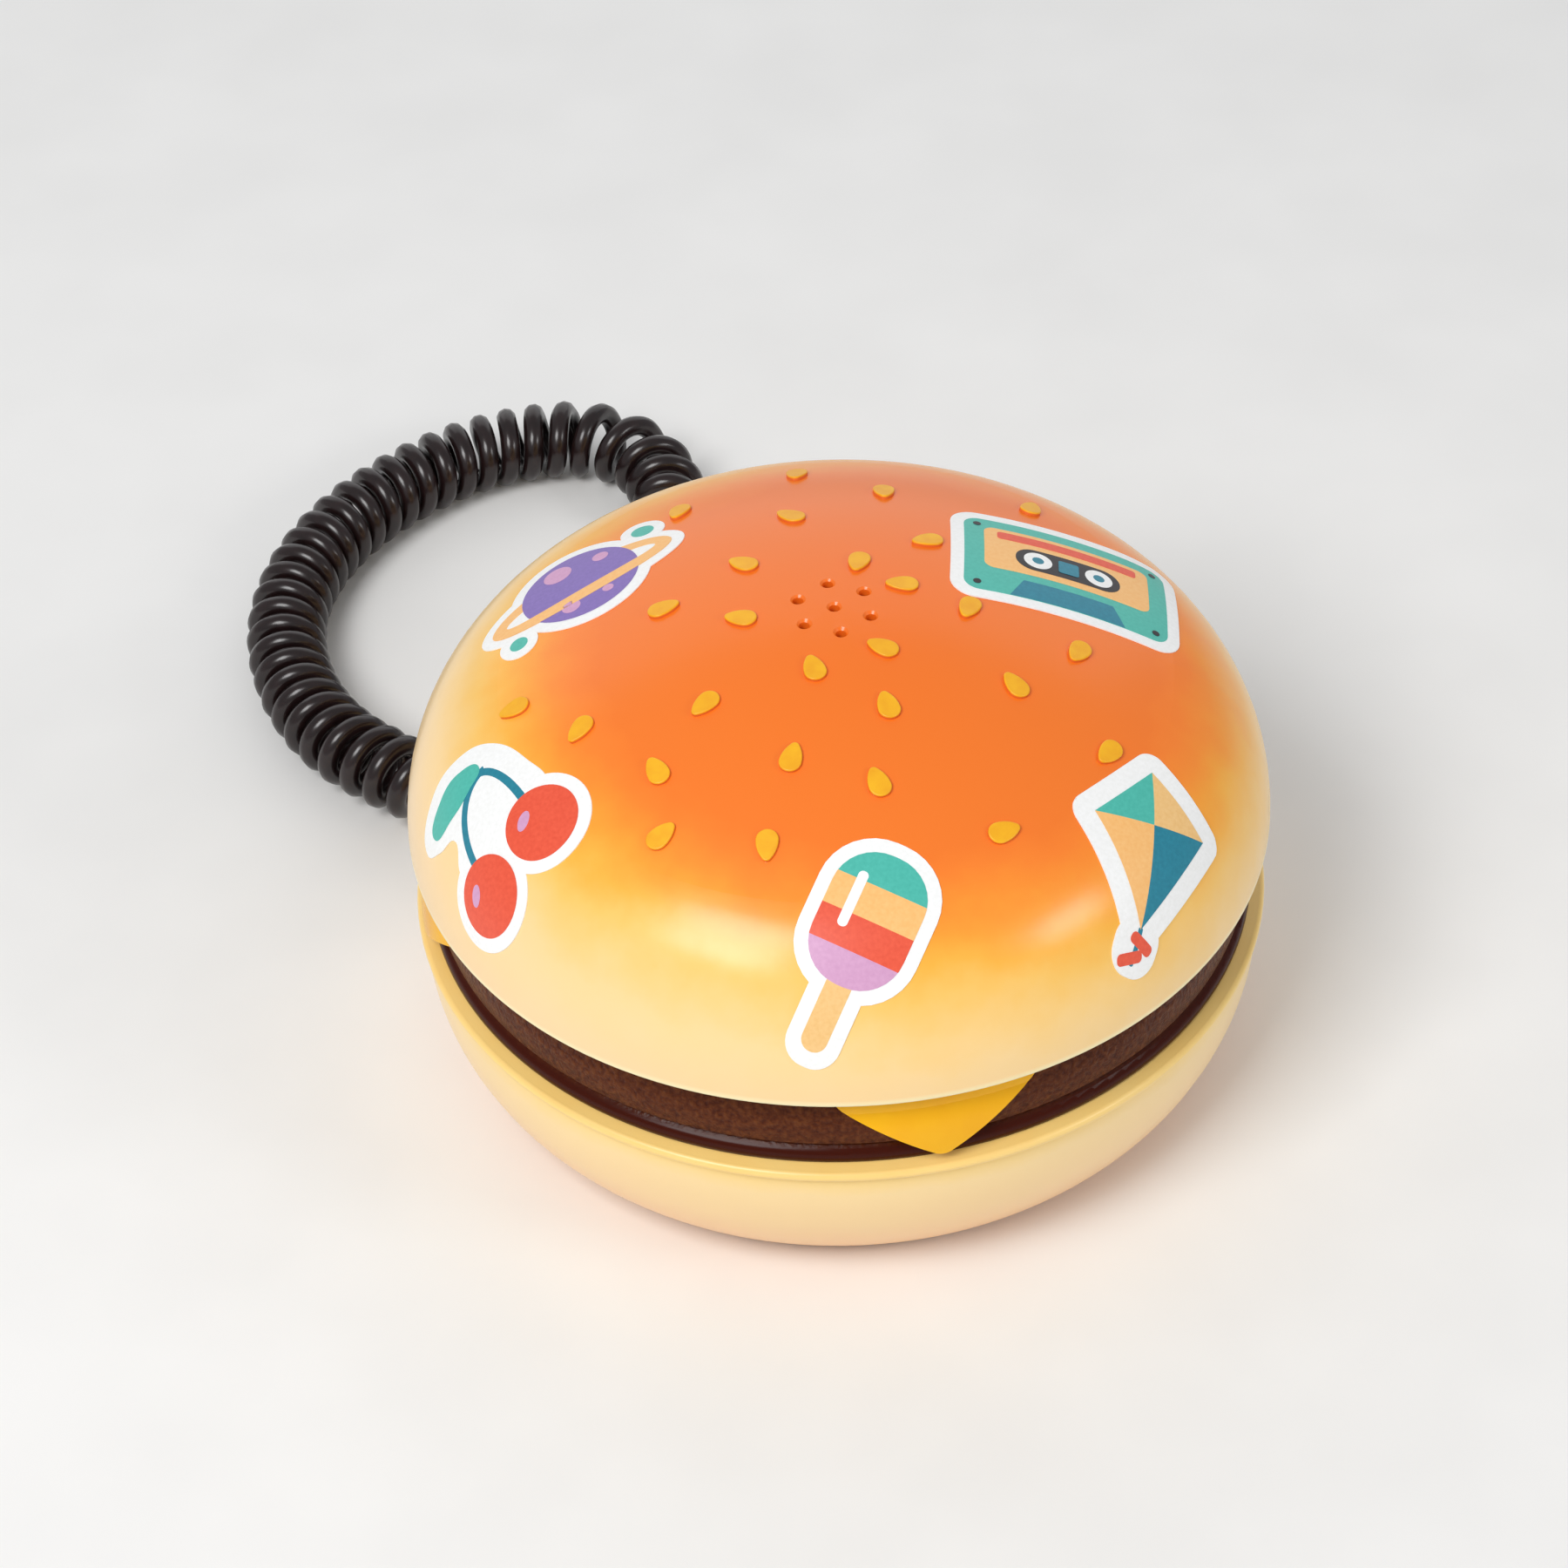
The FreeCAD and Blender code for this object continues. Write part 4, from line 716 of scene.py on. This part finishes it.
def sticker(name, spot, backing, layers):
    """Stack a white backing and inks; each ink is a finish, its dies and its level."""
    pieces = [cut_layer(bun_form, spot, backing, backing_lift, backing_thickness, inks["white"])]
    lift = backing_lift + backing_thickness
    for finish, dies, level in layers:
        pieces.append(cut_layer(bun_form, spot, dies, lift + ink_thickness * level, ink_thickness,
                                inks[finish]))
    piece = joined(pieces)
    piece.name = name
    bpy.ops.object.shade_smooth_by_angle(angle=math.radians(40))
    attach(piece, "lid")
    print(name, len(piece.data.polygons), "faces")


print("sticker backing, mm:", backing_thickness, "ink, mm:", ink_thickness)

# %% [markdown]
# The inks are printed on white vinyl under a thin film, so all of them have the same soft gloss and
# only the colour changes: purple, peach, teal, red, deep teal, lilac, sand and black.

# %% Printed inks
# Film-covered vinyl: flat clear colours, satin, with the faint dots of a wide printer.
inks = {}
for name, dark, light in [
        ("white", "#f6f6f4", "#fdfdfc"), ("purple", "#8068b4", "#886fbc"),
        ("peach", "#fcbd70", "#ffc67d"), ("teal", "#48b7a7", "#50bfaf"),
        ("red", "#e85236", "#f05d3f"), ("deep_teal", "#187d94", "#1f879e"),
        ("lilac", "#d29bc3", "#daa5cb"), ("sand", "#f3c27b", "#f8cb88"),
        ("black", "#1c171c", "#231d23")]:
    inks[name] = mottled("printed_vinyl_" + name, dark, light, 0.6, 0.02, {"Roughness": 0.38})
print("inks:", ", ".join(inks))

# %% [markdown]
# A ringed planet: the ring passes behind the ball and again before it, so it is cut twice, once
# whole and once as its front half.

# %% Planet sticker
ring_turn = 18
front_ring = ring_die(0, 0, 31, 10, 2.6)
finish_edit(lambda: bpy.ops.mesh.bisect(plane_co=(0, 0, 0), plane_no=(0, 1, 0), clear_outer=True))
front_ring.rotation_euler = (0, 0, math.radians(ring_turn))
in_place()
sticker("planet_sticker", on_bun(-38, 17, 8), [
    round_die(0, 0, 23), round_die(0, 0, 35, 14, ring_turn), round_die(10.4, 10.0, 7),
    round_die(-10.6, -9.6, 6.4)], [
    ("peach", [ring_die(0, 0, 31, 10, 2.6, ring_turn)], 0),
    ("teal", [round_die(10.4, 10.0, 3.6), round_die(-10.6, -9.6, 3)], 0),
    ("purple", [round_die(0, 0, 19)], 1),
    ("lilac", [round_die(-3.4, 5.0, 4.6), round_die(3.6, 5.8, 2.6), round_die(-1.6, -6.2, 3),
               round_die(4.4, -4.8, 1.8)], 2),
    ("peach", [front_ring], 2)])

# %% [markdown]
# A tape cassette is all rounded bars and discs.

# %% Cassette sticker
sticker("cassette_sticker", on_bun(35, 15.3, -5), [bar_die(0, 0, 36, 25, 4)], [
    ("teal", [bar_die(0, 0, 32, 21, 2.4)], 0),
    ("peach", [bar_die(0, 1.9, 26, 12.2, 1.6)], 1),
    ("deep_teal", [drawn_die([(-9, -10.4), (9, -10.4), (7, -6), (-7, -6)], "VECTOR")], 1),
    ("red", [bar_die(0, 5.9, 22, 2.2, 0.6)], 2),
    ("black", [bar_die(0, 0.4, 16.5, 6, 2.9), round_die(-14, 8.6, 1.2), round_die(14, 8.6, 1.2),
               round_die(-14, -8.6, 1.2), round_die(14, -8.6, 1.2)], 2),
    ("white", [round_die(-4.8, 0.4, 4.4), round_die(4.8, 0.4, 4.4)], 3),
    ("deep_teal", [round_die(-4.8, 0.4, 1.8), round_die(4.8, 0.4, 1.8),
                   bar_die(0, 0.4, 3.2, 3.4, 0.4)], 4)])

# %% [markdown]
# Two cherries hang from one leaf.  The leaf is a drawn outline, rounded through its points; the
# stems are thin oval rings of which only a part is kept.

# %% Cherry sticker
def stem_die(x, y, width, tall, right):
    """A quarter of a thin oval ring."""
    piece = ring_die(0, 0, width, tall, 1.3)
    for way in ((0, -1, 0), (-1 if right else 1, 0, 0)):
        finish_edit(lambda: bpy.ops.mesh.bisect(plane_co=(0, 0, 0), plane_no=way, clear_outer=True))
    piece.location = (x * mm, y * mm, 0)
    return in_place()


leaf = [(2.6, 11.0), (-1.0, 13.4), (-6.0, 12.8), (-10.4, 9.2), (-5.2, 7.9), (-0.4, 8.9)]
backing = [(-10.6, 6.4), (-13.4, 9.6), (-7.4, 15.2), (0.0, 16.0), (5.4, 13.6), (9.4, 6.0),
           (9.9, -1.0), (0, -3.0), (-8.6, -1.0), (-6.8, 4.6)]
sticker("cherry_sticker", on_bun(-50, -27, 14), [
    drawn_die(backing, "AUTO"), round_die(-6.4, -7.4, 15.6), round_die(6.8, -5.4, 15.6)], [
    ("deep_teal", [stem_die(3.2, -3.4, 19, 28, False), stem_die(1.6, -2.4, 11, 26, True)], 0),
    ("teal", [drawn_die(leaf, "AUTO")], 1),
    ("red", [round_die(-6.4, -7.4, 11.8), round_die(6.8, -5.4, 11.8)], 1),
    ("lilac", [round_die(-8.4, -5.4, 3.2, 1.8, 40), round_die(4.8, -3.4, 3.2, 1.8, 40)], 2)])

# %% [markdown]
# An ice lolly: its rounded bar is cut into four stripes, each a part of the same outline.

# %% Lolly sticker
def lolly_stripe(low, high):
    """The lolly's rounded outline, cut off below and above."""
    piece = bar_die(0, 4, 14, 20, 6.5)
    for at, way in ((low, -1), (high, 1)):
        finish_edit(lambda: bpy.ops.mesh.bisect(plane_co=(0, at * mm, 0), plane_no=(0, way, 0),
                                                clear_outer=True))
    return piece


sticker("lolly_sticker", on_bun(2, -55, -24), [
    bar_die(0, 4, 18, 24, 8.4), bar_die(0, -11, 8, 14, 3.6)], [
    ("sand", [bar_die(0, -10, 3.8, 11.6, 1.8)], 0.5),
    ("teal", [lolly_stripe(9, 20)], 1),
    ("peach", [lolly_stripe(4, 9)], 1),
    ("red", [lolly_stripe(-1, 4)], 1),
    ("lilac", [lolly_stripe(-10, -1)], 1),
    ("white", [bar_die(-3.2, 6, 1.5, 8.6, 0.7)], 2)])

# %% [markdown]
# A kite in four panels, with a string and two bows.

# %% Kite sticker
top, left, right, foot, cross = (0, 13.4), (-9.4, 5.0), (9.4, 5.0), (0, -10.6), (0, 5.0)
bows = [bar_die(0.8, -12.4, 4.6, 1.7, 0.7, -20), bar_die(-0.6, -14.8, 4.6, 1.7, 0.7, 24)]
kite_edge = drawn_die([(0, 17.4), (-13.4, 5.4), (-2, -13.6), (2, -13.6), (13.4, 5.4)], "VECTOR")
finish_edit(lambda: bpy.ops.mesh.bevel(offset=2.4 * mm, segments=8, affect="VERTICES"))
sticker("kite_sticker", on_bun(44.5, -36, 12), [kite_edge, bar_die(0, -13, 8.4, 8.4, 3.6)], [
    ("deep_teal", [bar_die(0, -13, 0.8, 5.4, 0.3)], 0.5),
    ("teal", [drawn_die([top, left, cross], "VECTOR")], 1),
    ("sand", [drawn_die([top, cross, right], "VECTOR")], 1),
    ("deep_teal", [drawn_die([cross, foot, right], "VECTOR")], 1),
    ("peach", [drawn_die([left, foot, cross], "VECTOR")], 1),
    ("red", bows, 1)])
bpy.data.objects.remove(bun_form)

# %% [markdown]
# ## Printed marks
# Each key carries a numeral pad-printed in brown, a hair above the plastic.  Text made a mesh has
# flat faces already, so it only needs the thickness of the ink; it rides on its key, and goes down
# with it.

# %% Numerals on the keys
# Pad-printing ink: dark brown, matt and slightly uneven.
ink = mottled("pad_printing_ink", "#452619", "#52301f", 0.5, 0.05, {"Roughness": 0.55})
print_thickness = 0.04
numeral_size, letter_size = 4.6, 1.7
numeral_rise, letter_drop = 1.0 * mm, 2.3 * mm


def words_die(words, size, at=(0, 0, 0), thickness=0.0):
    """Words round a place as a mesh, flat or with a thickness."""
    bpy.ops.object.select_all(action="DESELECT")
    bpy.ops.object.text_add(location=at)
    text = bpy.context.object
    text.data.body = words
    text.data.size = size * mm
    text.data.align_x = "CENTER"
    text.data.align_y = "CENTER"
    text.data.extrude = thickness * mm / 2
    bpy.ops.object.convert(target="MESH")
    return in_place()


key_marks = {"1": "", "2": "ABC", "3": "DEF", "4": "GHI", "5": "JKL", "6": "MNO", "7": "PQRS",
             "8": "TUV", "9": "WXYZ", "star": "", "0": "", "hash": "", "flash": "", "redial": ""}
key_signs = {"star": "*", "hash": "#", "flash": "R", "redial": "\u21bb"}
for key, letters in key_marks.items():
    low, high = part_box("key_" + key)
    middle = Vector(((low.x + high.x) / 2, (low.y + high.y) / 2, high.z))
    rise = Vector((0, numeral_rise if letters else 0, 0))
    drop = Vector((0, letter_drop, 0))
    marks = [words_die(key_signs.get(key, key), numeral_size, middle + rise, print_thickness)]
    if letters:
        marks.append(words_die(letters, letter_size, middle - drop, print_thickness))
    mark = joined(marks)
    mark.name = "mark_" + key
    mark.data.materials.append(ink)
    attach(mark, "key_" + key + "_cap")
print("keys printed:", len(key_marks))

# %% [markdown]
# The two slide switches on the back are told apart by words over them.  The wall is curved, so the
# words are cut out of a sheet of ink that lies on it, as the stickers were.

# %% Words over the slide switches
word_height = 19.8
word_size = 2.6
for name, words, bearing in [("ringer_words", "OFF  ON", 40), ("tone_words", "P  T", 58)]:
    b = math.radians(bearing)
    start = (far_off * math.cos(b), far_off * math.sin(b), word_height)
    spot = spot_on(nodes["lower_bun"], start, (-math.cos(b), -math.sin(b), 0), (0, 0, 1))
    die = words_die(words, word_size)
    mark = cut_layer(nodes["lower_bun"], spot, [die], 0, print_thickness, ink)
    mark.name = name
    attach(mark, "base")
    print(name, len(mark.data.polygons), "faces")
